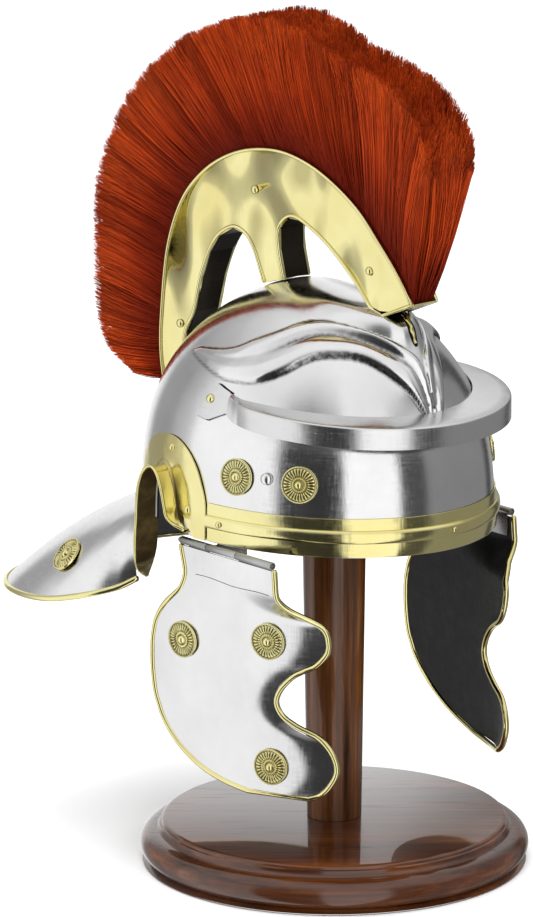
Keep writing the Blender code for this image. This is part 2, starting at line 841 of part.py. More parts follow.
def crest_lines():
    """Smooth outer and inner lines of the crest box."""
    outer = smooth_rows(crest_outline(CREST_OUTER), 2)
    inner = smooth_rows(crest_outline(CREST_INNER), 1)
    foot = np.array(crest_outline(CREST_FRONT_FOOT))
    return outer, foot, inner


def build_crest():
    """Wooden crest box between two brass side plates, with an end plate at the front."""
    outer, foot, inner = crest_lines()
    outline = seated(np.vstack([outer, foot, inner]), CREST_HALF_WIDTH - CREST_SHEET)
    for label, side in (("right", -1), ("left", 1)):
        near = side * (CREST_HALF_WIDTH - CREST_SHEET)
        far = side * CREST_HALF_WIDTH
        name = "crest_plate_" + label
        extruded(name, outline, min(near, far), max(near, far), brass(name))
        spots = ((0.172, 0.832), (-0.685, 0.632), (0.820, 0.255))
        for number, (along, up) in enumerate(spots):
            y, z = crest_outline([(along, up)])[0]
            point = Vector((side * (CREST_HALF_WIDTH + SEAT_GAP), y, z))
            rivet("crest_rivet_%s_%d" % (label, number + 1), point, Vector((side, 0.0, 0.0)),
                  RIVET_RADIUS, brass)
    build_crest_core(outer, foot, inner)
    half = CREST_HALF_WIDTH - CREST_SHEET - SEAT_GAP
    tip = np.array(outer[-1])
    toe = np.array(foot[0])
    inward = np.array([toe[1] - tip[1], tip[0] - toe[0]])
    inward = inward / np.linalg.norm(inward)
    if inward[0] < 0.0:
        inward = -inward
    plate = [tuple(tip), tuple(toe), tuple(toe + CREST_SHEET * inward), tuple(tip + CREST_SHEET * inward)]
    extruded("crest_end_plate", plate, -half, half, brass("crest_end_plate"))


def build_crest_core(outer, foot, inner):
    """Dark wooden core with a groove line for the plume along its top."""
    half = CREST_HALF_WIDTH - CREST_SHEET - SEAT_GAP
    lowered = []
    for i in range(len(outer)):
        before = outer[max(i - 1, 0)]
        after = outer[min(i + 1, len(outer) - 1)]
        along = (after - before) / np.linalg.norm(after - before)
        lowered.append(outer[i] + PLUME_SEAT * np.array([-along[1], along[0]]))
    core = [tuple(p) for p in lowered[1:-2]]
    core += [tuple(0.5 * (foot[0] + foot[1]) + np.array([0.0, 2.0 * SEAT_GAP]))]
    core += [tuple(foot[1] + np.array([0.0, 1.5 * SEAT_GAP]))]
    core += [tuple(p) for p in inner]
    extruded("crest_core", seated(core, 0.0), -half, half, wood("crest_core"))


def build_plume():
    """Fan of horsehair locks fused side by side, rising from the crest's groove."""
    outer, foot, inner = crest_lines()
    count = 2 * PLUME_LOCKS + 1
    spacing = np.linspace(0.0, 1.0, count)
    source = np.linspace(0.0, 1.0, len(outer))
    tips = smooth_rows(crest_outline(PLUME_TIPS), 3)
    tip_source = np.linspace(0.0, 1.0, len(tips))
    half = CREST_HALF_WIDTH - CREST_SHEET - SEAT_GAP
    sections = []
    for i, share in enumerate(spacing):
        base_share = 0.03 + 0.94 * share
        base = np.array([np.interp(base_share, source, outer[:, k]) for k in (0, 1)])
        tip = np.array([np.interp(share, tip_source, tips[:, k]) for k in (0, 1)])
        way = (tip - base) / np.linalg.norm(tip - base)
        groove = i % 2 == 0
        tip = tip - (PLUME_NOTCH * way if groove else 0.0)
        width = PLUME_HALF_WIDTH * (0.93 if groove else 1.0)
        seat = base - 0.9 * PLUME_SEAT * way
        throat = base + 0.5 * PLUME_SEAT * way
        middle = base + 0.45 * (tip - base)
        ring = []
        for sign in (-1.0, 1.0):
            line = [
                (sign * half, seat),
                (sign * half, throat),
                (sign * (half + 0.62 * (width - half)), middle),
                (sign * width, tip - PLUME_SEAT * way),
                (sign * 0.6 * width, tip),
            ]
            ring += line if sign < 0.0 else line[::-1]
        sections.append([Vector((x, p[0], p[1])) for x, p in ring])
    swept_section("plume", sections, make_material("plume_hair", (0.45, 0.06, 0.02), 0.8, 0.0))


def cheek_x(y, z):
    """Distance of the cheek plate's middle from the helmet's middle plane."""
    blend = min(max((CHEEK_TOP_Z - CHEEK_CREASE - z) / CHEEK_BEND, 0.0), 1.0)
    blend = blend * blend * (3.0 - 2.0 * blend)
    ahead = (CHEEK_Y + CHEEK_REAR - y) / (CHEEK_REAR + CHEEK_FRONT)
    return HINGE_X + blend * (CHEEK_FLARE - CHEEK_DISH * ahead ** 2)


def cheek_normal(side, y, z):
    """Outward direction of the cheek plate."""
    step = 0.4 * CHEEK_SHEET
    slope_y = (cheek_x(y + step, z) - cheek_x(y - step, z)) / (2.0 * step)
    slope_z = (cheek_x(y, z + step) - cheek_x(y, z - step)) / (2.0 * step)
    return Vector((side, -slope_y, -slope_z)).normalized()


def cheek_edges():
    """Height, rear Y and front Y of the cheek plate, top to bottom."""
    rows = []
    for drop, rear, front in CHEEK_ROWS:
        z = CHEEK_TOP_Z - drop * CHEEK_DROP
        rows.append((z, CHEEK_Y + rear * CHEEK_REAR, CHEEK_Y - front * CHEEK_FRONT))
    return rows


def build_cheek(side, label, parent):
    """Dished cheek plate with its brass edge, rosettes and hinge leaf."""
    inner = []
    outer = []
    for z, rear, front in cheek_edges():
        low = []
        high = []
        for t in np.linspace(0.0, 1.0, 6):
            y = rear + t * (front - rear)
            point = Vector((side * cheek_x(y, z), y, z))
            normal = cheek_normal(side, y, z)
            low.append(point - 0.5 * CHEEK_SHEET * normal)
            high.append(point + 0.5 * CHEEK_SHEET * normal)
        inner.append(low)
        outer.append(high)
    name = "cheek_guard_" + label
    items = [sheet_solid(name, inner, outer, steel(name))]
    items.append(build_cheek_trim(side, label))
    spots = ((0.267, 0.394), (-0.519, 0.330), (-0.540, 0.873))
    for number, (along, drop) in enumerate(spots):
        y = CHEEK_Y + along * CHEEK_FRONT
        z = CHEEK_TOP_Z - drop * CHEEK_DROP
        normal = cheek_normal(side, y, z)
        point = Vector((side * cheek_x(y, z), y, z)) + (0.5 * CHEEK_SHEET + 1.5 * SEAT_GAP) * normal
        items.append(rosette("cheek_rosette_%s_%d" % (label, number + 1), point, normal))
    items.append(build_leaf(side, label))
    for item in items:
        item.parent = parent
        item.matrix_parent_inverse = Matrix.Translation(-parent.location)


def build_cheek_trim(side, label):
    """Brass bead round the cheek plate's free edge."""
    edges = cheek_edges()
    loop = [(rear, z) for z, rear, front in edges]
    loop += [(front, z) for z, rear, front in edges[::-1]]
    loop = np.array(loop)
    sections = [trim_section(side, loop[i], trim_outward(loop, i)) for i in range(len(loop))]
    name = "cheek_trim_" + label
    return swept_section(name, sections, brass(name))


def trim_outward(loop, i):
    """Direction out of the plate's outline, in Y and Z, at one point of the loop."""
    before = loop[i] - loop[max(i - 1, 0)]
    after = loop[min(i + 1, len(loop) - 1)] - loop[i]
    if i == 0:
        before = after
    if i == len(loop) - 1:
        after = before
    before = before / np.linalg.norm(before)
    after = after / np.linalg.norm(after)
    along = (before + after) / np.linalg.norm(before + after)
    mitre = 1.0 / max(float(along.dot(after)), 0.6)
    return mitre * np.array([-along[1], along[0]])


def trim_section(side, place, out):
    """Four corners of the cheek's bead, just outside the plate's edge."""
    y, z = place
    half = 0.5 * TRIM_WIDTH
    corners = []
    near = 2.0 * SEAT_GAP
    for reach, lift in ((near, 1.0), (TRIM_WIDTH, 0.55), (TRIM_WIDTH, -0.55), (near, -1.0)):
        spot = place + reach * out
        normal = cheek_normal(side, y, z)
        point = Vector((side * cheek_x(spot[0], spot[1]), spot[0], spot[1]))
        corners.append(point + lift * half * normal)
    return corners


def barrel_outline(side, start, end, tail):
    """Section of a hinge leaf in X and Z: a barrel with a flat tail leaving it."""
    points = []
    for turn in np.radians(np.linspace(start, end, 12)):
        points.append((HINGE_X + HINGE_RADIUS * math.cos(turn), HINGE_Z + HINGE_RADIUS * math.sin(turn)))
    return [(side * x, z) for x, z in points + tail]


def along_y(name, outline, rear, front, material):
    """Solid whose outline in X and Z is extruded along Y."""
    sections = [[Vector((x, y, z)) for x, z in outline] for y in (rear, front)]
    return swept_section(name, sections, material)


def round_bar(name, radius, x, rear, front, material, sides=12):
    """Bar along Y on a hinge's axis."""
    length = rear - front
    profile = [(0.0, 0.0), (radius, 0.0), (radius, length), (0.0, length)]
    frame = Matrix.Translation((x, rear, HINGE_Z)) @ Matrix.Rotation(math.radians(90.0), 4, "X")
    return turned(name, profile, sides, material, frame)


def build_leaf(side, label):
    """Cheek's hinge leaf: two barrels and a plate behind the top of the cheek guard."""
    face = -0.5 * CHEEK_SHEET - SEAT_GAP
    back = face - LEAF_SHEET
    foot = CHEEK_TOP_Z - LEAF_DROP
    start = -math.degrees(math.acos(face / HINGE_RADIUS))
    end = 360.0 - math.degrees(math.acos(back / HINGE_RADIUS))
    tail = [(HINGE_X + back, foot), (HINGE_X + face, foot)]
    return extruded_leaf("cheek_hinge_" + label, side, barrel_outline(side, start, end, tail))


def extruded_leaf(name, side, outline):
    """Leaf body with its bore, with room for the middle barrel and for the bead."""
    leaf = along_y(name, outline, HINGE_REAR_Y, HINGE_FRONT_Y, steel(name))
    bore = round_bar(name + "_bore", PIN_RADIUS + PIN_GAP, side * HINGE_X, HINGE_REAR_Y + PIN_RADIUS,
                     HINGE_FRONT_Y - PIN_RADIUS, steel(name + "_bore"))
    cut(leaf, bore)
    room = HINGE_RADIUS + 2.0 * SEAT_GAP
    x = side * HINGE_X
    box = [(x - 2 * room, HINGE_Z - room), (x + 2 * room, HINGE_Z - room),
           (x + 2 * room, HINGE_Z + room), (x - 2 * room, HINGE_Z + room)]
    gap = along_y(name + "_room", box, BRACKET_REAR_Y + BARREL_GAP, BRACKET_FRONT_Y - BARREL_GAP,
                  steel(name + "_room"))
    cut(leaf, gap)
    low = CHEEK_TOP_Z - 2.0 * LEAF_DROP
    end = [(x - 2 * room, low), (x + 2 * room, low),
           (x + 2 * room, CHEEK_TOP_Z), (x - 2 * room, CHEEK_TOP_Z)]
    spans = ((HINGE_REAR_Y + room, HINGE_REAR_Y - LEAF_INSET),
             (HINGE_FRONT_Y + 0.5 * LEAF_INSET, HINGE_FRONT_Y - room))
    for number, (rear, front) in enumerate(spans):
        cut(leaf, along_y("%s_end_%d" % (name, number), end, rear, front, steel(name + "_end")))
    return leaf


def build_bracket(side, label):
    """Middle barrel of the hinge, whose tail turns up inside the skull's rim."""
    turn = math.radians(angle_at(BRACKET_FRONT_Y, 0.0))
    wall = BOWL_HALF_WIDTH * math.sin(turn) - BOWL_SHEET - 1.5 * SEAT_GAP
    top = RIM_Z + BRACKET_RISE
    tail = [
        (wall - LEAF_SHEET, HINGE_Z - 0.5 * LEAF_SHEET),
        (wall - LEAF_SHEET, top),
        (wall, top),
        (wall, HINGE_Z + 0.5 * LEAF_SHEET),
    ]
    name = "hinge_bracket_" + label
    turn = 180.0 - math.degrees(math.asin(0.5 * LEAF_SHEET / HINGE_RADIUS))
    outline = barrel_outline(side, turn, -turn, tail)
    bracket = along_y(name, outline, BRACKET_REAR_Y, BRACKET_FRONT_Y, steel(name))
    bore = round_bar(name + "_bore", PIN_RADIUS + PIN_GAP, side * HINGE_X, BRACKET_REAR_Y + PIN_RADIUS,
                     BRACKET_FRONT_Y - PIN_RADIUS, steel(name + "_bore"))
    cut(bracket, bore)
    name = "hinge_pin_" + label
    round_bar(name, PIN_RADIUS, side * HINGE_X, HINGE_REAR_Y, HINGE_FRONT_Y - SEAT_GAP, steel(name), 8)


def build_skull_ornaments():
    """Rosettes and plain rivets on the skull's sides."""
    for label, side in (("right", -1), ("left", 1)):
        for number, angle in enumerate((74.6, 53.3)):
            height = 0.295 * BOWL_HEIGHT
            point = skull_point(side * angle, height, 1.5 * SEAT_GAP)
            rosette("bowl_rosette_%s_%d" % (label, number + 1), point, skull_normal(side * angle, height))
        rivet_on_skull("bowl_rivet_" + label, side * 64.2, 0.305 * BOWL_HEIGHT, 0.0, BOWL_RIVET, steel)


def hinge_empty(label, side):
    """Empty on a cheek guard's hinge axis, the parent of what swings with it."""
    empty = bpy.data.objects.new("cheek_axis_" + label, None)
    empty.location = (side * HINGE_X, CHEEK_Y, HINGE_Z)
    bpy.context.scene.collection.objects.link(empty)
    bpy.context.view_layer.update()
    return empty


def main():
    clear_scene()
    build_stand()
    build_bowl()
    build_brow_band()
    build_brow_guard()
    build_skull_ornaments()
    build_neck_guard()
    build_crest()
    build_plume()
    for label, side in (("right", -1), ("left", 1)):
        build_ear(side, label)
        build_bracket(side, label)
        build_cheek(side, label, hinge_empty(label, side))


main()
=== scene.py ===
"""Dresses the helmet on its stand: polished sheet metal, relief, hair and wood."""

import math

import bmesh
import bpy
import numpy as np
from bpy.props import FloatProperty, FloatVectorProperty, IntProperty, PointerProperty
from mathutils import Matrix, Vector


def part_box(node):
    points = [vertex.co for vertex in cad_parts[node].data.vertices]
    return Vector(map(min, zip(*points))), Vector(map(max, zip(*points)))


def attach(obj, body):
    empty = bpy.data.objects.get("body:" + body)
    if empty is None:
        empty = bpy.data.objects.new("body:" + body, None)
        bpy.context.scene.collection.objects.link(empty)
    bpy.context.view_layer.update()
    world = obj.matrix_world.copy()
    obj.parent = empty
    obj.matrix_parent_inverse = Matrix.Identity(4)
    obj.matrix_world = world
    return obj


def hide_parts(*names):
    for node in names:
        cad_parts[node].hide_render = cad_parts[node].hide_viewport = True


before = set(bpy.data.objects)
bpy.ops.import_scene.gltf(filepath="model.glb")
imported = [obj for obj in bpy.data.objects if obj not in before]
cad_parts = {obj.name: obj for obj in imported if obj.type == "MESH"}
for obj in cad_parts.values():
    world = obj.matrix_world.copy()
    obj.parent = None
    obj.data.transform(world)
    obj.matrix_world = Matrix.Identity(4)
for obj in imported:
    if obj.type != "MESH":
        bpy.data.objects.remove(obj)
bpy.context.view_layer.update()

bl_info = {
    "name": "Crested helmet on a stand",
    "version": (1, 0, 0),
    "blender": (4, 5, 0),
    "location": "3D View > Sidebar > Helmet",
    "description": "Builds a crested infantry helmet with its stand around a fixed frame",
    "category": "Object",
}

ROOT = "helmet_on_stand"
SIDES = (("right", -1), ("left", 1))

# Shape of the skull, in metres, as in the solid model
HELMET_Y = 0.017
RIM_Z = 0.236
HALF_WIDTH = 0.105
HALF_LENGTH = 0.131
HEIGHT = 0.159
SQUARENESS = 2.83
TAPER = 1.56
KEEL_HALF_ANGLE = 13.0
SEAT = 0.0003

# Steps round the skull, and how far an opening's ragged edge may lie from its line
SKULL_STEPS = 320
EAR_SIDE_X = 0.07
EDGE_REACH = 0.004

# Sheet thicknesses and bead radii
STEEL_SHEET = 0.0014
NECK_BEAD = 0.0021
BRASS_SHEET = 0.0011
CHEEK_SHEET = 0.0012

# Forehead's keel: share of the skull's height, how far it stands out
KEEL_ROWS = [
    (0.00, 0.000), (0.20, 0.000), (0.38, 0.000), (0.49, 0.000), (0.585, 0.004), (0.68, 0.055),
    (0.82, 0.160), (0.91, 0.290), (0.945, 0.300), (0.970, 0.240), (0.988, 0.120), (1.00, 0.000),
]

# Borders of the embossed brow: angle from the front, height above the rim in mm
BROW_UPPER = [
    (119.0, 112.6), (114.0, 116.0), (105.0, 118.2), (96.0, 120.5), (89.0, 124.0), (82.6, 129.0),
    (71.0, 135.0), (62.0, 139.0), (50.6, 141.5), (35.6, 141.8), (22.0, 139.4), (12.5, 134.7),
    (6.3, 129.0), (2.2, 123.0), (0.6, 115.0), (0.0, 104.0), (0.0, 94.0), (0.6, 86.5),
]
BROW_LOWER = [
    (119.0, 112.4), (105.0, 108.8), (96.5, 106.0), (88.0, 103.7), (81.0, 103.9), (75.0, 104.6),
    (70.0, 107.3), (61.0, 113.9), (54.5, 119.3), (47.4, 122.7), (39.8, 123.7), (32.0, 123.3),
    (24.9, 121.0), (18.7, 116.0), (14.0, 110.0), (10.6, 104.5), (8.2, 99.0), (6.2, 92.5), (4.2, 86.5),
]
BROW_DEGREE = 1.85

# Section of the brow from its lower line to its upper line: share across, rise in mm
BROW_SECTION = [
    (-0.02, 0.0), (0.00, 0.1), (0.045, 2.0), (0.10, 3.0), (0.20, 3.3), (0.34, 3.1), (0.46, 2.3),
    (0.55, 1.2), (0.62, 0.8), (0.69, 1.2), (0.78, 2.3), (0.88, 2.6), (0.955, 1.7), (1.00, -0.1),
    (1.02, 0.0),
]

# The same section near the tail, where the brow is a plain leaf
LEAF_SECTION = [
    (-0.02, 0.0), (0.00, -0.1), (0.05, 1.1), (0.16, 2.0), (0.34, 2.5), (0.50, 2.2), (0.60, 1.9),
    (0.72, 2.3), (0.88, 2.0), (0.95, 1.3), (1.00, -0.2), (1.02, 0.0),
]

BAND_HEIGHT = 0.026

# Brow guard: angle from the front, then root rise, reach and lip as shares
GUARD_ROWS = [
    (0.0, 0.00, 1.00, 1.00), (15.0, 0.06, 0.98, 1.00), (30.0, 0.22, 0.93, 1.00),
    (43.0, 0.42, 0.82, 1.00), (54.0, 0.62, 0.69, 1.00), (62.0, 0.76, 0.55, 1.00),
    (70.0, 0.90, 0.38, 1.00), (76.0, 1.00, 0.22, 0.98), (79.0, 1.15, 0.13, 0.90),
    (81.5, 1.35, 0.08, 0.72),
]
GUARD_Z = 0.32345
GUARD_RISE = 0.0060
GUARD_REACH = 0.0276
GUARD_LIP = 0.0130

# End tabs of the brow guard: angle from the front, height above the rim in mm
TAB_UPPER = [
    (96.8, 90.2), (96.2, 90.9), (92.6, 95.6), (89.3, 99.9), (88.3, 100.3), (85.2, 98.6), (82.2, 97.1),
    (81.4, 96.3), (80.8, 93.0),
]
TAB_LOWER = [
    (96.6, 88.9), (96.2, 87.4), (95.3, 83.6), (94.7, 80.6), (93.9, 79.6), (91.5, 78.9), (89.3, 78.4),
    (88.6, 78.8), (80.8, 85.6),
]
TAB_STEPS = 6
TAB_RISE = 0.0024
# Thickness of the dark sheet of painted shadow under each tab
TAB_SHADOW_SHEET = 0.0008

# Ear opening: middle, half width, height and the flange's reach
EAR_Y = 0.050
EAR_HALF_WIDTH = 0.016
EAR_TOP = 0.044
EAR_FLANGE = 0.015
OPENING_ROWS = 13  # rows of FLANGE_ROWS that lie round the opening

# Ear flange from front to back: along and up the opening, then out, back and lift
FLANGE_ROWS = [
    (-1.59, 0.08, 0.14, 0.00, 0.00), (-1.22, 0.17, 0.48, 0.10, 0.00), (-1.04, 0.29, 0.80, 0.05, 0.00),
    (-0.94, 0.43, 0.86, 0.04, 0.00), (-0.81, 0.59, 0.88, 0.04, 0.00), (-0.60, 0.76, 0.88, 0.05, 0.00),
    (-0.28, 0.91, 0.88, 0.06, 0.00), (0.10, 0.98, 0.92, 0.08, 0.00), (0.46, 0.94, 0.98, 0.08, -0.02),
    (0.75, 0.82, 1.02, 0.08, -0.04), (0.92, 0.64, 1.06, 0.10, -0.05), (1.00, 0.42, 1.08, 0.10, -0.05),
    (1.03, 0.14, 1.10, 0.10, -0.05), (1.08, -0.14, 1.12, 0.12, -0.10), (1.22, -0.41, 1.05, 0.12, -0.16),
    (1.60, -0.66, 0.76, 0.10, -0.18), (2.00, -0.84, 0.38, 0.05, -0.08), (2.20, -0.93, 0.14, 0.00, 0.00),
]

# Plate round the ear: outer edge along and up, inner edge along and up
PLATE_ROWS = [
    (2.55, 0.65, 1.12, 0.60), (2.40, 0.96, 1.00, 0.79), (1.65, 1.25, 0.80, 0.93),
    (0.64, 1.39, 0.42, 1.03), (-0.34, 1.41, -0.04, 1.04), (-1.24, 1.30, -0.46, 0.95),
    (-1.93, 1.10, -0.76, 0.79), (-2.36, 0.86, -0.94, 0.61), (-2.66, 0.54, -1.08, 0.43),
    (-2.66, 0.28, -1.40, 0.29), (-2.66, 0.01, -2.02, 0.01),
]

# Neck guard
NECK_HALF_WIDTH = 0.119
NECK_REACH = 0.244
NECK_DROP = 0.074
NECK_BULGE = 0.006
NECK_ROOT_ANGLE = 123.0

# Neck guard from its side to its middle: share of the turn, width, reach and drop
NECK_ROWS = [
    (0.00, 0.780, 0.305, 0.58), (0.07, 0.850, 0.350, 0.68), (0.15, 0.940, 0.430, 0.78),
    (0.27, 0.995, 0.545, 0.88), (0.39, 0.985, 0.665, 0.93), (0.52, 0.895, 0.795, 0.96),
    (0.66, 0.690, 0.905, 0.975), (0.83, 0.370, 0.975, 0.99), (1.00, 0.000, 1.000, 1.00),
]

# Crest box
CREST_HALF_WIDTH = 0.0108
CREST_Y = 0.046
CREST_FRONT = 0.136
CREST_REAR = 0.119
CREST_BASE_Z = 0.298
CREST_HEIGHT = 0.180
CREST_BEAD = 0.0013
WINDOW_CORNER = 9  # row of CREST_INNER that stays sharp
CREST_FINISHES = (("crest_plate_right", "crest_brass"), ("crest_plate_left", "crest_brass"),
                  ("crest_end_plate", "polished_brass"), ("crest_core", "core_metal"))

# Outlines of the crest box and of the plume: along and up, as shares of the crest
CREST_OUTER = [
    (0.97, 0.00), (1.00, 0.13), (0.992, 0.28), (0.935, 0.535), (0.810, 0.728), (0.628, 0.856),
    (0.406, 0.943), (0.156, 0.992), (-0.092, 1.000), (-0.340, 0.955), (-0.590, 0.857), (-0.776, 0.732),
    (-0.903, 0.634), (-0.996, 0.540),
]
CREST_FRONT_FOOT = [
    (-0.882, 0.504), (-0.756, 0.464),
]
CREST_INNER = [
    (-0.680, 0.498), (-0.592, 0.565), (-0.465, 0.643), (-0.341, 0.704), (-0.181, 0.755),
    (-0.092, 0.755), (-0.030, 0.706), (-0.033, 0.628), (-0.070, 0.522), (0.020, 0.507), (0.104, 0.487),
    (0.132, 0.531), (0.191, 0.609), (0.262, 0.656), (0.364, 0.668), (0.482, 0.625), (0.560, 0.556),
    (0.633, 0.449), (0.693, 0.313), (0.764, 0.232), (0.795, 0.110), (0.820, 0.002),
]
PLUME_TIPS = [
    (1.14, 0.04), (1.40, 0.13), (1.48, 0.32), (1.49, 0.56), (1.46, 0.76), (1.34, 0.95), (1.17, 1.12),
    (0.93, 1.26), (0.66, 1.38), (0.33, 1.47), (0.04, 1.51), (-0.20, 1.50), (-0.46, 1.43), (-0.75, 1.39),
    (-0.97, 1.32), (-1.15, 1.19), (-1.16, 1.05),
]

# Plume: half widths at its edge and in the groove, tufts, and points of a strand
PLUME_HALF_WIDTH = 0.023
GROOVE_HALF_WIDTH = 0.0085
TUFTS = 120.0
LOCKS = 400
LOCK_SEED = 7
HAIR_SEED = 40
STRAND_POINTS = 5

# Shares of the plume's width that each piece of hair takes, from right to left
HAIR_SPANS = (("right_face", -1.0, -0.72), ("right_half", -1.0, 0.05), ("left_half", -0.05, 1.0),
              ("left_face", 0.72, 1.0))

# Slot in the forehead: height of its foot above the rim, and its length
SLOT_FOOT = 0.1295
SLOT_LENGTH = 0.0205

# Hinge axis and the ends of its barrels, then the cheek plate's own sizes
HINGE_X = 0.1055
HINGE_Z = 0.2323
HINGE_REAR_Y = 0.0315
HINGE_FRONT_Y = -0.0595
HINGE_RADIUS = 0.0026
BRACKET_REAR_Y = 0.0050
BRACKET_FRONT_Y = -0.0240
CHEEK_TOP_Z = 0.2290
CHEEK_DROP = 0.156
CHEEK_REAR = 0.0515
CHEEK_FRONT = 0.0860
CHEEK_FLARE = 0.007
CHEEK_DISH = 0.0335
CHEEK_CREASE = 0.0150
CHEEK_BEND = 0.024
CHEEK_CURL = 0.0026
CHEEK_CURL_WIDTH = 0.017
CREASE_Z = 0.2117
CHEEK_CENTRE = (0.0, -0.01, 0.15)

# Hinge: radii of the bore, pin and pin head, and the leaf's foot and gap
BORE_RADIUS = 0.0013
PIN_RADIUS = 0.0011
PIN_HEAD = 0.0019
LEAF_Z = 0.2156
LEAF_GAP = 0.0004

# Cheek plate: share of its drop, then its rear and front edges
CHEEK_ROWS = [
    (0.000, 0.587, 0.690), (0.095, 0.511, 0.705), (0.141, 0.500, 0.722), (0.186, 0.530, 0.768),
    (0.224, 0.632, 0.862), (0.263, 0.757, 0.930), (0.300, 0.850, 0.945), (0.350, 0.935, 0.932),
    (0.404, 0.979, 0.855), (0.436, 0.994, 0.756), (0.470, 1.000, 0.666), (0.532, 0.998, 0.569),
    (0.598, 0.977, 0.531), (0.660, 0.938, 0.585), (0.703, 0.879, 0.705), (0.744, 0.817, 0.883),
    (0.801, 0.681, 0.973), (0.864, 0.457, 1.000), (0.923, 0.136, 0.953), (0.960, -0.200, 0.895),
    (0.985, -0.560, 0.815),
]

# Stamped rosette from its middle plane outward and back: share of its radius, height
ROSETTE_PROFILE = [
    (0.0, 0.0), (1.0, 0.0), (1.0, 0.0012), (0.975, 0.0018), (0.945, 0.0019), (0.915, 0.0016),
    (0.895, 0.0011), (0.87, 0.0015), (0.80, 0.0019), (0.68, 0.0022), (0.57, 0.0021),
    (0.50, 0.0018), (0.465, 0.0011), (0.44, 0.0011), (0.41, 0.0019), (0.36, 0.0023),
    (0.31, 0.0021), (0.28, 0.0014), (0.25, 0.0015), (0.21, 0.0027), (0.15, 0.0036),
    (0.07, 0.0040), (0.0, 0.0040),
]
FLUTES = 14.0
RIM_NOTCHES = 42.0
RING_NOTCHES = 21.0

# Camera: viewing angle in degrees, distance, and where the aim lies in a picture
# of this height, in pixels
AZIMUTH = -41.5
ELEVATION = 14.0
DISTANCE = 4.5
AIM = (0.0, 0.0, 0.290)
METRES_PER_PIXEL = 0.00066
PICTURE_HEIGHT = 917.0
PICTURE_CENTRE = (266.5, 458.5)
AIM_IN_PICTURE = (334.2, 437.0)
SENSOR = 36.0

# Softboxes: name, place, width, height, power
SOFTBOXES = [
    ("key_softbox", (-1.7, -1.4, 1.9), 1.3, 0.8, 24.0),
    ("side_softbox", (2.2, -0.6, 1.4), 0.8, 1.4, 14.0),
    ("back_softbox", (-0.9, 2.2, 1.6), 1.4, 1.0, 14.0),
    ("top_softbox", (0.0, 0.1, 2.6), 1.6, 1.6, 14.0),
]
LAMP_AIM = (0.0, 0.02, 0.30)
FLOOR_HALF = 12.0
BACKDROP = (0.89, 0.89, 0.89)
CEILING = (0.95, 0.95, 0.95)
WORLD_STRENGTH = 1.12


def size_choice(label, text, default, low, high, unit="LENGTH"):
    """Length or share that the panel offers."""
    return FloatProperty(name=label, description=text, default=default, min=low, max=high, unit=unit)


def colour_choice(label, text, default):
    """Colour that the panel offers."""
    return FloatVectorProperty(name=label, description="Colour of the " + text, subtype="COLOR",
                               default=default, size=3, min=0.0, max=1.0)


class HelmetSizes(bpy.types.PropertyGroup):
    """Sizes of the details that the dressed helmet adds to its solids."""

    sheet: size_choice("Sheet thickness", "Thickness of the skull's steel", 0.0013, 0.0006, 0.002)
    brow_relief: size_choice(
        "Brow relief", "Height of the embossed brows as a share of the real one", 1.0, 0.2, 1.5, "NONE")
    bead_radius: size_choice(
        "Bead radius", "Radius of the brass bead on the cheek guards", 0.0020, 0.001, 0.003)
    rosette_radius: size_choice(
        "Rosette radius", "Outer radius of the stamped rosettes", 0.0122, 0.008, 0.014)
    hair_count: IntProperty(
        name="Hairs", description="Number of strands in each quarter of the plume",
        default=7000, min=500, max=8000)
    hair_radius: size_choice(
        "Hair radius", "Radius of one strand, which stands for a few hairs", 0.00036, 0.0001, 0.001)


class HelmetColours(bpy.types.PropertyGroup):
    """Main colours of the helmet's materials."""

    steel: colour_choice("Steel", "polished steel", (0.80, 0.80, 0.80))
    brass: colour_choice("Brass", "polished brass", (0.85, 0.80, 0.41))
    wood: colour_choice("Wood", "stained wood", (0.130, 0.043, 0.011))
    hair: colour_choice("Hair", "dyed horsehair", (0.44, 0.040, 0.006))


# Shape functions

def smooth_rows(rows, steps):
    """Points of a smooth curve through the rows, with so many steps between them."""
    points = np.array(rows, dtype=float)
    padded = np.vstack([2 * points[0] - points[1], points, 2 * points[-1] - points[-2]])
    result = []
    for i in range(len(points) - 1):
        a, b, c, d = padded[i:i + 4]
        for t in np.arange(steps) / steps:
            result.append(0.5 * (2 * b + (c - a) * t + (2 * a - 5 * b + 4 * c - d) * t * t
                                 + (3 * b - a - 3 * c + d) * t ** 3))
    result.append(points[-1])
    return [tuple(float(value) for value in point) for point in result]


def lookup(table, column, at):
    """Value of a table's column at a place along its first column."""
    return float(np.interp(at, [row[0] for row in table], [row[column] for row in table]))


def clamp(value, low=0.0, high=1.0):
    return min(max(value, low), high)


def arc(centre, radii, turns):
    """Points of an arc round a centre, at turns in degrees."""
    angles = [math.radians(turn) for turn in turns]
    return [(centre[0] + radii[0] * math.cos(a), centre[1] + radii[1] * math.sin(a)) for a in angles]


def place_along(line, share):
    """Place at a share of the way through the points of a line."""
    source = np.linspace(0.0, 1.0, len(line))
    return np.stack([np.interp(share, source, line[:, k]) for k in (0, 1)], axis=-1)


def keel_share(angle, share):
    """How far the forehead's keel stands out beyond the skull's own radius share."""
    widen = clamp((share - 0.64) / 0.32)
    half = KEEL_HALF_ANGLE * (1.0 + 1.5 * widen * widen * (1.5 - 0.5 * widen))
    return lookup(KEEL_SMOOTH, 1, share) * math.exp(-((angle / half) ** 2))


def line_distance(points, line):
    """Distance of each point from a row of joined lines."""
    best = np.full(len(points), 1e9)
    for first, second in zip(line[:-1], line[1:]):
        span = second - first
        along = np.clip(((points - first) @ span) / max(float(span @ span), 1e-12), 0.0, 1.0)
        gap = points - (first + along[:, None] * span)
        best = np.minimum(best, np.hypot(gap[:, 0], gap[:, 1]))
    return best


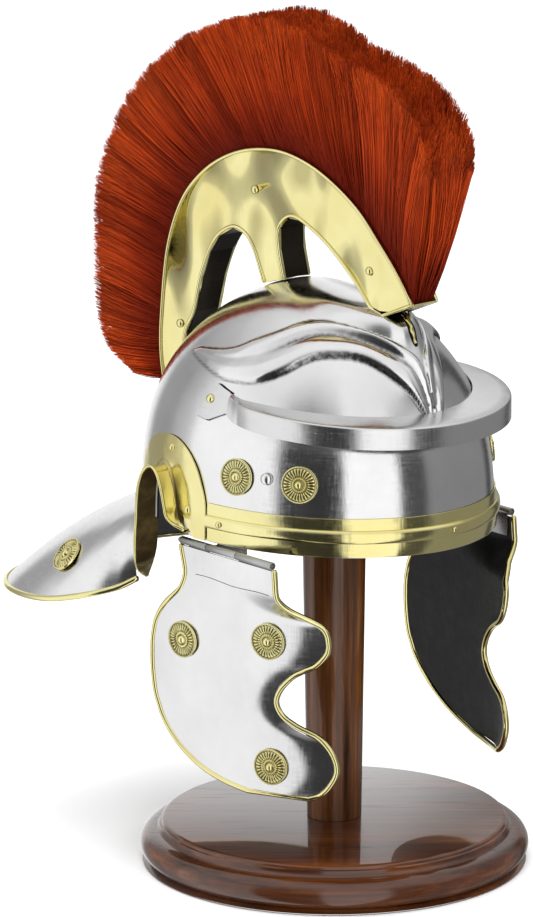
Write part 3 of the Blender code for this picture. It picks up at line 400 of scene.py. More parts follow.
def within(points, line):
    """Which points lie inside a closed outline."""
    hit = np.zeros(len(points), bool)
    for (xa, ya), (xb, yb) in zip(line, np.roll(line, -1, axis=0)):
        if ya == yb:
            continue
        across = (ya > points[:, 1]) != (yb > points[:, 1])
        at = xa + (points[:, 1] - ya) * (xb - xa) / (yb - ya)
        hit ^= across & (points[:, 0] < at)
    return hit


def brow_field(angles, heights):
    """Rise of the embossed brows in metres, and how far in shadow each place lies."""
    scale = np.array([BROW_DEGREE, 1.0])
    upper = np.array(smooth_rows(BROW_UPPER, 5)) * scale
    lower = np.array(smooth_rows(BROW_LOWER, 5)) * scale
    turn = np.abs(angles)
    places = np.stack([turn, heights * 1000.0], axis=1) * scale
    low = line_distance(places, lower)
    high = line_distance(places, upper)
    inside = within(places, np.vstack([lower, upper[::-1]]))
    share = low / np.maximum(low + high, 1e-9)
    blend = np.clip((turn - 70.0) / 16.0, 0.0, 1.0)
    brow = np.interp(share, *np.array(BROW_SECTION).T)
    leaf = np.interp(share, *np.array(LEAF_SECTION).T)
    fade = np.clip((low + high) / 12.0, 0.0, 1.0)
    rise = np.where(inside, 0.001 * (brow + (leaf - brow) * blend) * fade, 0.0)
    return rise, brow_shadow(turn, low, high, share, inside)


def brow_shadow(turn, low, high, share, inside):
    """Painted shade under the brow, along its valley and in its engraved borders."""
    under = np.clip(1.25 - np.abs(low - 0.5) / 1.3, 0.0, 1.0) * np.clip((74.0 - turn) / 8.0, 0.0, 1.0)
    valley = np.clip(1.0 - np.abs(share - 0.60) / 0.10, 0.0, 1.0) * inside
    valley *= np.clip((76.0 - turn) / 14.0, 0.0, 1.0) * np.clip((turn - 2.0) / 6.0, 0.0, 1.0)
    engraved = np.clip(1.2 - high / 0.9, 0.0, 1.0) * (turn > 1.5)
    engraved = np.maximum(engraved, np.clip(1.2 - low / 0.9, 0.0, 1.0)) * 0.8
    return np.clip(np.maximum(np.maximum(under, valley), engraved), 0.0, 1.0)


def skull_share(height):
    """Share of the skull's height, and the radius share that it has there."""
    share = clamp(height / HEIGHT)
    return share, (1.0 - share ** SQUARENESS) ** (1.0 / TAPER)


def skull_point(angle, height, offset=0.0, keel=True):
    """Point on the skull: angle in degrees from the front, height above the rim."""
    share, radius = skull_share(height)
    if keel:
        radius += keel_share(angle, share)
    turn = math.radians(angle)
    point = Vector((
        HALF_WIDTH * radius * math.sin(turn),
        HELMET_Y - HALF_LENGTH * radius * math.cos(turn),
        RIM_Z + height,
    ))
    if offset:
        point += offset * skull_normal(angle, height)
    return point


def skull_normal(angle, height):
    """Outward direction of the plain skull at that place."""
    step = 0.002 * HEIGHT
    low = clamp(height - step, 0.0, HEIGHT - 2.5 * step)
    across = skull_point(angle + 0.5, low, keel=False) - skull_point(angle - 0.5, low, keel=False)
    upward = skull_point(angle, low + 2 * step, keel=False) - skull_point(angle, low, keel=False)
    return across.cross(upward).normalized()


def angle_at(y, height):
    """Angle from the front of the skull's side at a given Y, on the +X half."""
    cosine = (HELMET_Y - y) / (HALF_LENGTH * skull_share(height)[1])
    return math.degrees(math.acos(clamp(cosine, -1.0)))


def side_point(side, y, height, offset):
    """Point on one side of the skull, given by its Y and its height above the rim."""
    return skull_point(side * angle_at(y, height), height, offset)


def crest_outline(rows):
    """Y and Z of the crest's outline rows."""
    points = []
    for along, up in rows:
        length = CREST_FRONT if along < 0.0 else CREST_REAR
        points.append((CREST_Y + along * length, CREST_BASE_Z + up * CREST_HEIGHT))
    return points


def cheek_x(y, z):
    """Distance of the cheek plate's middle from the helmet's middle plane."""
    blend = clamp((CHEEK_TOP_Z - CHEEK_CREASE - z) / CHEEK_BEND)
    blend = blend * blend * (3.0 - 2.0 * blend)
    ahead = (CHEEK_REAR - y) / (CHEEK_REAR + CHEEK_FRONT)
    drop = (CHEEK_TOP_Z - z) / CHEEK_DROP
    edge = -CHEEK_FRONT * float(np.interp(drop, CHEEK_SMOOTH[:, 0], CHEEK_SMOOTH[:, 2]))
    near = clamp(1.0 - (y - edge) / CHEEK_CURL_WIDTH, 0.0, 1.4)
    fade = clamp((drop - 0.20) / 0.15)
    return HINGE_X + blend * (CHEEK_FLARE - CHEEK_DISH * ahead ** 2) - fade * CHEEK_CURL * near ** 2


def cheek_point(side, y, z, rise):
    """Point on the cheek plate, that far outside its middle."""
    return Vector((side * cheek_x(y, z), y, z)) + rise * cheek_normal(side, y, z)


def cheek_normal(side, y, z):
    """Outward direction of the cheek plate."""
    step = 0.0005
    slope_y = (cheek_x(y + step, z) - cheek_x(y - step, z)) / (2.0 * step)
    slope_z = (cheek_x(y, z + step) - cheek_x(y, z - step)) / (2.0 * step)
    return Vector((side, -slope_y, -slope_z)).normalized()


KEEL_SMOOTH = smooth_rows(KEEL_ROWS, 8)
CHEEK_SMOOTH = np.array(smooth_rows(CHEEK_ROWS, 4))


# Mesh helpers

def add_object(name, data):
    """Object with this data, in the scene."""
    piece = bpy.data.objects.new(name, data)
    bpy.context.scene.collection.objects.link(piece)
    return piece


def new_object(name, bm, material, sharp=38.0):
    """Turn a bmesh into a shaded object at the origin."""
    mesh = bpy.data.meshes.new(name)
    bm.to_mesh(mesh)
    bm.free()
    mesh.shade_smooth()
    mesh.set_sharp_from_angle(angle=math.radians(sharp))
    mesh.materials.append(bpy.data.materials[material])
    return add_object(name, mesh)


def dress(piece, body, slot, *nodes):
    """Let a piece ride on its body in place of the nodes it stands for."""
    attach(piece, body)
    if nodes:
        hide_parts(*nodes)
    return piece


def loft(rings, closed=True, caps=False):
    """Skin through rows of points: a first row of edges is extruded from row to row."""
    bm = bmesh.new()
    row = [bm.verts.new(point) for point in rings[0]]
    pairs = list(zip(row, row[1:]))
    if closed:
        pairs.append((row[-1], row[0]))
    edges = [bm.edges.new(pair) for pair in pairs]
    if caps:
        bmesh.ops.contextual_create(bm, geom=edges)
    for ring in rings[1:]:
        made = bmesh.ops.extrude_edge_only(bm, edges=edges)["geom"]
        fresh = {item for item in made if isinstance(item, bmesh.types.BMVert)}
        edges = [item for item in made if isinstance(item, bmesh.types.BMEdge)
                 and item.verts[0] in fresh and item.verts[1] in fresh]
        row = [next(edge.other_vert(vert) for edge in vert.link_edges if edge.other_vert(vert) in fresh)
               for vert in row]
        for vert, point in zip(row, ring):
            vert.co = point
    if caps:
        bmesh.ops.contextual_create(bm, geom=edges)
    bmesh.ops.recalc_face_normals(bm, faces=bm.faces)
    return bm


def thicken(bm, thickness, away_from):
    """Turn an open sheet's faces away from a point, and thicken it inward."""
    bm.normal_update()
    total = 0.0
    for face in bm.faces:
        total += face.normal.dot(face.calc_center_median() - away_from) * face.calc_area()
    if total < 0.0:
        bmesh.ops.reverse_faces(bm, faces=bm.faces)
    bm.normal_update()
    bmesh.ops.solidify(bm, geom=bm.faces[:] + bm.edges[:] + bm.verts[:], thickness=thickness)
    bmesh.ops.recalc_face_normals(bm, faces=bm.faces)


def sheet(name, rows, thickness, material, away_from):
    """Sheet metal through rows of points on its outer face."""
    bm = loft(rows, closed=False)
    thicken(bm, thickness, Vector(away_from))
    return new_object(name, bm, material)


def tube(name, path, radius, material, sides=10, flat=1.0, side_way=None):
    """Bead along a path of points, with round closed ends."""
    points = [Vector(point) for point in path]
    last = len(points) - 1
    turns = [2.0 * math.pi * k / sides for k in range(sides)]
    rings = []
    for i, point in enumerate(points):
        along = (points[min(i + 1, last)] - points[max(i - 1, 0)]).normalized()
        across = side_way[i] if side_way else Vector((0.0, 0.0, 1.0))
        first = (across - across.dot(along) * along).normalized()
        second = along.cross(first)
        rings.append([point + radius * (math.cos(turn) * first + flat * math.sin(turn) * second)
                      for turn in turns])
    for end, inner in ((0, 1), (-1, -2)):
        along = (points[end] - points[inner]).normalized()
        tip = [points[end].lerp(spot, 0.55) + 0.5 * radius * along for spot in rings[end]]
        rings.insert(0 if end == 0 else len(rings), tip)
    return new_object(name, loft(rings, caps=True), material, 60.0)


def spin_row(bm, points, steps):
    """Turn a row of points once round Z."""
    row = [bm.verts.new(point) for point in points]
    edges = [bm.edges.new(pair) for pair in zip(row, row[1:])]
    bmesh.ops.spin(bm, geom=row + edges, cent=(0, 0, 0), axis=(0, 0, 1), angle=2 * math.pi,
                   steps=steps, use_merge=True)
    bmesh.ops.remove_doubles(bm, verts=bm.verts, dist=1e-6)


def lathe(bm, profile, steps):
    """Closed solid of revolution about Z from a profile that runs from axis to axis."""
    spin_row(bm, [(radius, 0.0, height) for radius, height in profile], steps)
    bmesh.ops.recalc_face_normals(bm, faces=bm.faces)
    return bm


def frame_at(point, direction):
    """Matrix that puts an ornament's Z along a direction at a point."""
    turn = direction.to_track_quat("Z", "Y")
    return Matrix.Translation(point) @ turn.to_matrix().to_4x4()


# Material helpers

FLOAT = "NodeSocketFloat"
VECTOR = "NodeSocketVector"


def node_group(name, inputs, outputs):
    """Empty shader group with named sockets; returns the tree and its two ends."""
    tree = bpy.data.node_groups.new(name, "ShaderNodeTree")
    for label, kind, value in inputs:
        socket = tree.interface.new_socket(label, in_out="INPUT", socket_type=kind)
        socket.default_value = value
    for label, kind in outputs:
        tree.interface.new_socket(label, in_out="OUTPUT", socket_type=kind)
    return tree, tree.nodes.new("NodeGroupInput"), tree.nodes.new("NodeGroupOutput")


def feed(tree, socket, item):
    """Put a value on a socket, or link another node's output to it."""
    if isinstance(item, bpy.types.NodeSocket):
        tree.links.new(item, socket)
    else:
        socket.default_value = item


def add_node(tree, kind, **values):
    """Node with values or links on its named inputs."""
    node = tree.nodes.new(kind)
    for label, item in values.items():
        feed(tree, node.inputs[label], item)
    return node


def add_noise(tree, vector, scale, detail=4.0, roughness=0.55):
    return add_node(tree, "ShaderNodeTexNoise", Vector=vector, Scale=scale, Detail=detail,
                    Roughness=roughness).outputs["Fac"]


def stretch(tree, vector, scale):
    """Object coordinates scaled along each axis."""
    return add_node(tree, "ShaderNodeMapping", Vector=vector, Scale=scale).outputs["Vector"]


def ramp(tree, value, low, high, start=0.0, end=1.0):
    """Value remapped from low..high to start..end, held inside that range."""
    node = add_node(tree, "ShaderNodeMapRange", Value=value)
    for label, number in zip(("From Min", "From Max", "To Min", "To Max"), (low, high, start, end)):
        node.inputs[label].default_value = number
    return node.outputs["Result"]


def maths(tree, kind, first, second, node_type="ShaderNodeMath", output="Value"):
    node = tree.nodes.new(node_type)
    node.operation = kind
    feed(tree, node.inputs[0], first)
    if second is not None:
        feed(tree, node.inputs[1], second)
    return node.outputs[output]


def add(tree, first, second):
    return maths(tree, "ADD", first, second)


def times(tree, first, second):
    return maths(tree, "MULTIPLY", first, second)


def mix_colour(tree, factor, first, second):
    node = tree.nodes.new("ShaderNodeMix")
    node.data_type = "RGBA"
    for index, item in ((0, factor), (6, first), (7, second)):
        feed(tree, node.inputs[index], (*item, 1.0) if isinstance(item, tuple) else item)
    return node.outputs[2]


def build_groups():
    """Effects that several materials share."""
    polish_group()
    inside_group()
    grain_group()


def polish_group():
    """Dents, fine scratches in two directions, and cloudy tarnish."""
    tree, start, end = node_group(
        "hand_polish", [("Vector", VECTOR, (0, 0, 0)), ("Dents", FLOAT, 45.0), ("Scratches", FLOAT, 900.0)],
        [("Height", FLOAT), ("Haze", FLOAT), ("Cloud", FLOAT)])
    source = start.outputs["Vector"]
    dents = add_noise(tree, source, start.outputs["Dents"], 2.0)
    first, second = [add_noise(tree, stretch(tree, source, scale), start.outputs["Scratches"], 2.0)
                     for scale in ((0.12, 0.12, 1.0), (1.0, 1.0, 0.10))]
    scratch = times(tree, add(tree, first, second), 0.5)
    feed(tree, end.inputs["Height"], add(tree, dents, times(tree, scratch, 0.05)))
    feed(tree, end.inputs["Haze"], ramp(tree, scratch, 0.38, 0.66))
    feed(tree, end.inputs["Cloud"], ramp(tree, add_noise(tree, source, 14.0, 5.0), 0.35, 0.7))


def inside_group():
    """Whether a face looks towards a centre, as a sheet's inner face does."""
    tree, start, end = node_group(
        "facing_in", [("Normal", VECTOR, (0, 0, 1)), ("Vector", VECTOR, (0, 0, 0)),
                      ("Centre", VECTOR, (0, 0, 0))], [("Inside", FLOAT)])
    kind = "ShaderNodeVectorMath"
    away = maths(tree, "SUBTRACT", start.outputs["Vector"], start.outputs["Centre"], kind, "Vector")
    unit = maths(tree, "NORMALIZE", away, None, kind, "Vector")
    dot = maths(tree, "DOT_PRODUCT", unit, start.outputs["Normal"], kind)
    feed(tree, end.inputs["Inside"], ramp(tree, dot, 0.0, -0.12))


def grain_group():
    """Long streaks and dark pores of stained wood."""
    tree, start, end = node_group(
        "wood_grain", [("Vector", VECTOR, (0, 0, 0)), ("Streaks", FLOAT, 120.0)],
        [("Stripe", FLOAT), ("Pore", FLOAT)])
    source, streaks = start.outputs["Vector"], start.outputs["Streaks"]
    broad = add_noise(tree, source, streaks, 4.0, 0.6)
    fine = add_noise(tree, source, times(tree, streaks, 3.2), 6.0, 0.7)
    stripe = add(tree, times(tree, broad, 0.62), times(tree, fine, 0.38))
    feed(tree, end.inputs["Stripe"], ramp(tree, stripe, 0.36, 0.66))
    pores = add_noise(tree, source, times(tree, streaks, 9.0), 2.0)
    feed(tree, end.inputs["Pore"], ramp(tree, pores, 0.58, 0.70))


def principled(name):
    """New material's tree, shader and coordinates."""
    material = bpy.data.materials.new(name)
    material.use_nodes = True
    tree = material.node_tree
    return tree, tree.nodes["Principled BSDF"], tree.nodes.new("ShaderNodeTexCoord")


def tinted(colour, share):
    return tuple(share * part for part in colour)


def place_group(tree, name, **values):
    node = tree.nodes.new("ShaderNodeGroup")
    node.node_tree = bpy.data.node_groups[name]
    for label, item in values.items():
        feed(tree, node.inputs[label], item)
    return node


def read_attribute(tree, name):
    """Attribute that the mesh keeps for its material."""
    node = tree.nodes.new("ShaderNodeAttribute")
    node.attribute_name = name
    return node


def add_bump(tree, shader, height, distance, strength=1.0):
    node = add_node(tree, "ShaderNodeBump", Height=height, Distance=distance, Strength=strength)
    tree.links.new(node.outputs["Normal"], shader.inputs["Normal"])


def add_recess_shade(tree, source, tint, rough):
    """Painted shade in a mesh's recesses, broken up by noise."""
    recess_shade = ramp(tree, add_noise(tree, source, 420.0, 3.0), 0.30, 0.62, 0.55, 1.0)
    recess_shade = times(tree, read_attribute(tree, "recess").outputs["Fac"], recess_shade)
    tint = mix_colour(tree, times(tree, recess_shade, 0.93), tint, (0.03, 0.03, 0.032))
    return tint, add(tree, rough, times(tree, recess_shade, 0.12))


def add_inner_face(tree, coordinates, centre, tint, rough, soot):
    """Blackened face on the side that looks towards a centre."""
    source = coordinates.outputs["Object"]
    inside = place_group(tree, "facing_in", Normal=coordinates.outputs["Normal"], Vector=source,
                         Centre=centre).outputs["Inside"]
    patch = ramp(tree, add_noise(tree, source, 75.0, 6.0, 0.6), 0.45, 0.75)
    shade = mix_colour(tree, patch, soot, tinted(soot, 2.5))
    return inside, mix_colour(tree, inside, tint, shade), add(tree, rough, times(tree, inside, 0.22))


def add_warp(tree, source, tint, dark, height, warp):
    """Slow waves in a flat sheet, and patches where its colour is darker."""
    height = add(tree, height, times(tree, add_noise(tree, source, 17.0, 0.0), warp))
    patch = add_noise(tree, stretch(tree, source, (1.0, 1.6, 0.8)), 21.0, 1.0, 0.3)
    patch = times(tree, ramp(tree, patch, 0.50, 0.62), 0.55)
    return mix_colour(tree, patch, tint, tinted(dark, 0.35)), height


def sheet_metal(name, colour, dark, gloss, dents, dent_depth, centre=None, soot=(0.008, 0.008, 0.008),
                recessed=False, inner_metal=0.0, warp=0.0):
    """Hand-polished sheet metal, with a blackened inner face where a centre is given."""
    tree, shader, coordinates = principled(name)
    source = coordinates.outputs["Object"]
    polish = place_group(tree, "hand_polish", Vector=source, Dents=dents, Scratches=700.0)
    height = polish.outputs["Height"]
    tint = mix_colour(tree, polish.outputs["Cloud"], dark, colour)
    rough = add(tree, times(tree, polish.outputs["Haze"], 0.10), times(tree, polish.outputs["Cloud"], 0.04))
    rough = add(tree, rough, gloss)
    # Recessed meshes get painted shade from their recess attribute
    if recessed:
        tint, rough = add_recess_shade(tree, source, tint, rough)
    if centre is None:
        shader.inputs["Metallic"].default_value = 1.0
    else:
        shader.inputs["Specular IOR Level"].default_value = 0.18
        inside, tint, rough = add_inner_face(tree, coordinates, centre, tint, rough, soot)
        feed(tree, shader.inputs["Metallic"], ramp(tree, inside, 0.0, 1.0, 1.0, inner_metal))
    if warp:
        tint, height = add_warp(tree, source, tint, dark, height, warp / dent_depth)
    feed(tree, shader.inputs["Base Color"], tint)
    feed(tree, shader.inputs["Roughness"], rough)
    add_bump(tree, shader, height, dent_depth)


def lacquered_wood(name, colour, streaks, turn, stretched, coat):
    """Stained wood with long grain under a gloss lacquer."""
    tree, shader, coordinates = principled(name)
    grain_way = add_node(tree, "ShaderNodeMapping", Vector=coordinates.outputs["Object"],
                         Rotation=(0.0, 0.0, math.radians(turn)), Scale=stretched)
    grain_way.vector_type = "TEXTURE"
    grain = place_group(tree, "wood_grain", Vector=grain_way.outputs["Vector"], Streaks=streaks)
    stripe, pore = grain.outputs
    dark = tinted(colour, 0.16)
    light = (min(1.0, 2.0 * colour[0]), 2.3 * colour[1], 2.0 * colour[2])
    tint = mix_colour(tree, ramp(tree, stripe, 0.0, 0.62), dark, colour)
    tint = mix_colour(tree, ramp(tree, stripe, 0.58, 1.0), tint, light)
    tint = mix_colour(tree, times(tree, pore, 0.30), tint, dark)
    feed(tree, shader.inputs["Base Color"], tint)
    feed(tree, shader.inputs["Roughness"], ramp(tree, pore, 0.0, 1.0, 0.32, 0.48))
    shader.inputs["Specular IOR Level"].default_value = 0.2
    shader.inputs["Coat Weight"].default_value = coat
    shader.inputs["Coat Roughness"].default_value = 0.03
    add_bump(tree, shader, pore, 0.0002, 0.12)


def hair_material(name, colour):
    """Dyed hair with painted shade towards the roots and painted highlights towards the tips; each strand has
    its own tone.
    """
    tree, shader, coordinates = principled(name)
    strand = read_attribute(tree, "strand")
    split = add_node(tree, "ShaderNodeSeparateColor", Color=strand.outputs["Color"])
    shade, along, lock = split.outputs
    drift = add_noise(tree, coordinates.outputs["Object"], 38.0, 3.0)
    # root is the colour of the painted shade where the hairs crowd at the crest, tip the colour of painted
    # highlights; random strands and locks also lean towards root
    root = (0.20 * colour[0], 0.12 * colour[1], 0.20 * colour[2])
    tip = (min(1.0, 1.45 * colour[0]), 2.1 * colour[1], 1.9 * colour[2])
    tint = mix_colour(tree, ramp(tree, along, 0.0, 0.55), root, colour)
    # Painted highlight over the outer part of the strands, broken up by noise
    tip_highlight = times(tree, ramp(tree, along, 0.30, 1.0), ramp(tree, drift, 0.30, 0.62, 0.25, 1.0))
    tint = mix_colour(tree, tip_highlight, tint, tip)
    tint = mix_colour(tree, ramp(tree, shade, 0.0, 0.8, 0.62, 0.0), tint, root)
    tint = mix_colour(tree, ramp(tree, lock, 0.0, 0.7, 0.60, 0.0), tint, root)
    feed(tree, shader.inputs["Base Color"], tint)
    feed(tree, shader.inputs["Roughness"], ramp(tree, shade, 0.0, 1.0, 0.45, 0.62))
    shader.inputs["Specular IOR Level"].default_value = 0.06


def materials():
    """The finishes of the whole object, made once."""
    build_groups()
    colours = bpy.context.scene.helmet_colours
    steel, brass, wood = tuple(colours.steel), tuple(colours.brass), tuple(colours.wood)
    dull = tinted(steel, 0.86)
    tarnish = (0.90 * brass[0], 0.84 * brass[1], 0.72 * brass[2])
    sheet_metal("polished_steel", steel, dull, 0.12, 16.0, 0.0005)
    # The skull's recess attribute darkens it with painted shade under and along the brows
    sheet_metal("skull_steel", steel, dull, 0.09, 13.0, 0.0007, (0.0, HELMET_Y, RIM_Z + 0.02), recessed=True)
    sheet_metal("neck_steel", steel, dull, 0.16, 14.0, 0.0005, (0.0, 0.12, 0.02))
    sheet_metal("guard_steel", tinted(steel, 0.84), dull, 0.17, 18.0, 0.0004)
    sheet_metal("polished_brass", brass, tarnish, 0.09, 40.0, 0.0007)
    sheet_metal("crest_brass", brass, tarnish, 0.09, 30.0, 0.0005, warp=0.045)
    sheet_metal("core_metal", (0.050, 0.040, 0.030), (0.012, 0.009, 0.007), 0.22, 24.0, 0.0008)
    sheet_metal("hinge_steel", (0.50, 0.50, 0.50), (0.30, 0.30, 0.30), 0.24, 40.0, 0.0002)
    sheet_metal("stamped_brass", brass, tarnish, 0.09, 60.0, 0.0002, recessed=True)
    for label, side in SIDES:
        sheet_metal("cheek_steel_" + label, steel, dull, 0.11, 16.0, 0.0006, CHEEK_CENTRE)
        sheet_metal("flange_brass_" + label, brass, tarnish, 0.12, 40.0, 0.0006, ear_centre(side),
                    (0.085, 0.058, 0.022), inner_metal=0.75)
    # Near-black finish for painted shadow: in the forehead's slot, round the guard's tabs and along the cheek
    # crease
    sheet_metal("blackened_iron", (0.03, 0.03, 0.03), (0.015, 0.015, 0.015), 0.35, 30.0, 0.0004)
    lacquered_wood("post_wood", wood, 130.0, 0.0, (1.0, 1.0, 26.0), 0.55)
    base = (0.62 * wood[0], 0.50 * wood[1], 0.45 * wood[2])
    lacquered_wood("base_wood", base, 120.0, AZIMUTH, (60.0, 5.0, 1.0), 1.0)
    hair_material("dyed_hair", tuple(colours.hair))


def ear_centre(side):
    """Middle of the ear opening on one side."""
    return (side * 0.112, EAR_Y, RIM_Z + 0.004)


# Studio screens: azimuth from the front in degrees, brightness
LOW_SCREENS = [
    (-180, 0.35), (-168, 0.35), (-160, 0.50), (-148, 0.65), (-144, 1.00), (-93, 1.02), (-87, 0.05),
    (-56, 0.03), (-51, 0.14), (-47, 1.20), (-10, 1.20), (-5, 0.08), (14, 0.08), (22, 0.26), (96, 0.24),
    (104, 0.07), (111, 0.07), (116, 0.32), (134, 0.32), (137, 1.00), (162, 0.90), (172, 0.35),
    (180, 0.35),
]
HIGH_SCREENS = [
    (-180, 0.60), (-160, 0.50), (-140, 0.95), (-100, 0.85), (-75, 0.30), (-55, 0.50), (-46, 1.00),
    (-10, 0.95), (5, 0.60), (30, 0.80), (56, 0.80), (66, 0.40), (92, 0.40), (105, 0.75), (135, 0.95),
    (160, 0.60), (180, 0.60),
]


# Operators

class HELMET_OT_stand(bpy.types.Operator):
    """Turn the stand's foot and post"""

    bl_idname = "helmet.stand"
    bl_label = "Stand"

    def execute(self, context):
        self.foot(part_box("stand_base")[1])
        self.post(*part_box("stand_post"))
        return {"FINISHED"}

    def foot(self, corner):
        """Rolled edge, step and rounded top, out from the foot's own radius and height."""
        radius, top = corner.x, corner.z
        profile = [(0.0, 0.0), (radius - 0.004, 0.0), (radius - 0.0015, 0.0012)]
        profile += arc((radius - 0.0115, 0.0125), (0.0115, 0.0105), range(-60, 91, 15))
        profile += [(radius - 0.0125, 0.0238), (radius - 0.0132, 0.0248), (radius - 0.0135, 0.0268)]
        profile += arc((radius - 0.0175, top - 0.0026), (0.0030, 0.0026), (0, 30, 60, 90))
        profile.append((0.0, top))
        base = new_object("turned_foot", lathe(bmesh.new(), profile, 128), "base_wood", 30.0)
        dress(base, ROOT, "dark_wood", "stand_base")

    def post(self, low, high):
        """Post that widens upward to a rounded shoulder."""
        half = high.x
        shoulder = 0.36 * half
        profile = [(0.0, low.z), (0.0182, low.z), (0.0190, 0.08), (0.0199, 0.14), (0.0208, 0.20)]
        profile.append((half, 0.25))
        for across, down in ((1.0, 1.0), (0.93, 0.80), (0.80, 0.60), (0.45, 0.28), (0.0, 0.0)):
            profile.append((across * half, high.z - down * shoulder))
        post = new_object("turned_post", lathe(bmesh.new(), profile, 72), "post_wood", 30.0)
        dress(post, ROOT, "dark_wood", "stand_post")


def opening_line():
    """The ear opening's outline in Y and height above the rim."""
    rows = [row[:2] for row in FLANGE_ROWS[:OPENING_ROWS]]
    line = [(EAR_Y + EAR_HALF_WIDTH * a, EAR_TOP * b) for a, b in smooth_rows(rows, 8)]
    return [(line[0][0], -0.01)] + line + [(line[-1][0] + 0.002, -0.01)]


def nearest_on_line(line, y, height):
    """Closest place on an outline."""
    best = None
    for (ya, za), (yb, zb) in zip(line, line[1:]):
        length = (yb - ya) ** 2 + (zb - za) ** 2
        t = clamp(((y - ya) * (yb - ya) + (height - za) * (zb - za)) / length)
        spot = (ya + t * (yb - ya), za + t * (zb - za))
        gap = math.hypot(spot[0] - y, spot[1] - height)
        if best is None or gap < best[0]:
            best = (gap, spot)
    return best


class HELMET_OT_skull(bpy.types.Operator):
    """Raise the steel skull with its embossed brows and ear openings"""

    bl_idname = "helmet.skull"
    bl_label = "Skull"

    def execute(self, context):
        sizes = context.scene.helmet_sizes
        bm = bmesh.new()
        recess = bm.verts.layers.float.new("recess")
        shares = list(np.linspace(0.0, 0.50, 16)) + list(np.linspace(0.515, 0.965, 74))
        shares += [0.972, 0.979, 0.985, 0.990, 0.994, 0.997, 0.999]
        spin_row(bm, [(1.0, 0.0, share) for share in shares], SKULL_STEPS)
        bmesh.ops.contextual_create(bm, geom=[vert for vert in bm.verts if vert.co.z > 0.9985])
        verts = list(bm.verts)
        turns = np.degrees([math.atan2(vert.co.y, vert.co.x) for vert in verts])
        spread = np.abs(turns) / 180.0
        angles = np.copysign(180.0 * (spread * (0.60 + 0.40 * spread ** 2.2)), turns)
        heights = np.array([vert.co.z for vert in verts]) * HEIGHT
        rises, shadows = brow_field(angles, heights)
        for vert, angle, height, rise, shadow in zip(verts, angles, heights, rises, shadows):
            vert.co = skull_point(float(angle), float(height), sizes.brow_relief * float(rise))
            # The recess attribute carries the painted shade of the brows
            vert[recess] = float(shadow)
        self.cut_ears(bm, opening_line())
        thicken(bm, sizes.sheet, Vector((0.0, HELMET_Y, RIM_Z)))
        dress(new_object("raised_skull", bm, "skull_steel", 60.0), ROOT, "bright_steel", "bowl")
        return {"FINISHED"}

    def cut_ears(self, bm, line):
        """Open the arches over the ears and draw their edges onto the outline."""
        sides = [face for face in bm.faces if abs(face.calc_center_median().x) > EAR_SIDE_X]
        middles = [face.calc_center_median() for face in sides]
        hits = within(np.array([(middle.y, middle.z - RIM_Z) for middle in middles]), np.array(line))
        bmesh.ops.delete(bm, geom=[face for face, hit in zip(sides, hits) if hit], context="FACES")
        for vert in bm.verts:
            if not vert.is_boundary or abs(vert.co.x) < EAR_SIDE_X or vert.co.z < RIM_Z + 0.0005:
                continue
            gap, spot = nearest_on_line(line, vert.co.y, vert.co.z - RIM_Z)
            if gap < EDGE_REACH and spot[1] >= 0.0:
                vert.co = side_point(math.copysign(1.0, vert.co.x), spot[0], spot[1], 0.0)


class HELMET_OT_brow_band(bpy.types.Operator):
    """Roll the ribbed brass band along the front rim"""

    bl_idname = "helmet.brow_band"
    bl_label = "Brow band"

    def execute(self, context):
        face = SEAT + 0.0010
        outline = [(SEAT, 0.02), (SEAT, 1.0), (face - 0.0002, 1.0), (face, 0.985), (face, 0.735)]
        for turn in range(0, 181, 20):
            angle = math.radians(turn)
            outline.append((face + 0.0026 * math.sin(angle) ** 0.75, 0.54 + 0.17 * math.cos(angle)))
        outline += [(face, 0.345), (face, 0.04), (face - 0.0003, 0.02)]
        rings = []
        for angle in np.linspace(-85.0, 85.0, 121):
            rings.append([skull_point(angle, share * BAND_HEIGHT, off, keel=False) for off, share in outline])
        piece = new_object("ribbed_band", loft(rings, caps=True), "polished_brass", 32.0)
        dress(piece, ROOT, "pale_brass", "brow_band")
        return {"FINISHED"}


def guard_section(angle, rise, reach, lip):
    """Points of the brow guard's outer face at one angle, root to lip."""
    root_height = GUARD_Z - RIM_Z + rise * GUARD_RISE
    root = skull_point(angle, root_height, 2.0 * SEAT, keel=False)
    normal = skull_normal(angle, root_height)
    flat = Vector((normal.x, normal.y, 0.0)).normalized()
    down = Vector((0.0, 0.0, -1.0))
    corner = root + reach * GUARD_REACH * flat + 0.0012 * down
    foot_on_skull = skull_point(angle, root_height - 0.0012 - GUARD_LIP * lip, 0.0008, keel=False)
    foot = corner + GUARD_LIP * lip * down
    foot += max(0.0, (foot_on_skull - foot).dot(flat)) * flat
    up_root = root - STEEL_SHEET * down
    corner = corner - STEEL_SHEET * down + STEEL_SHEET * flat
    foot = foot + STEEL_SHEET * flat
    soft = min(0.0016, 0.45 * (corner - up_root).length)
    points = [up_root, up_root.lerp(corner, 0.35), up_root.lerp(corner, 0.7)]
    for turn in (90, 65, 40, 20, 0):
        bend = math.radians(turn)
        centre = corner - soft * flat + soft * down
        points.append(centre + soft * math.cos(bend) * flat - soft * math.sin(bend) * down)
    points += [corner.lerp(foot, 0.5), foot]
    return points


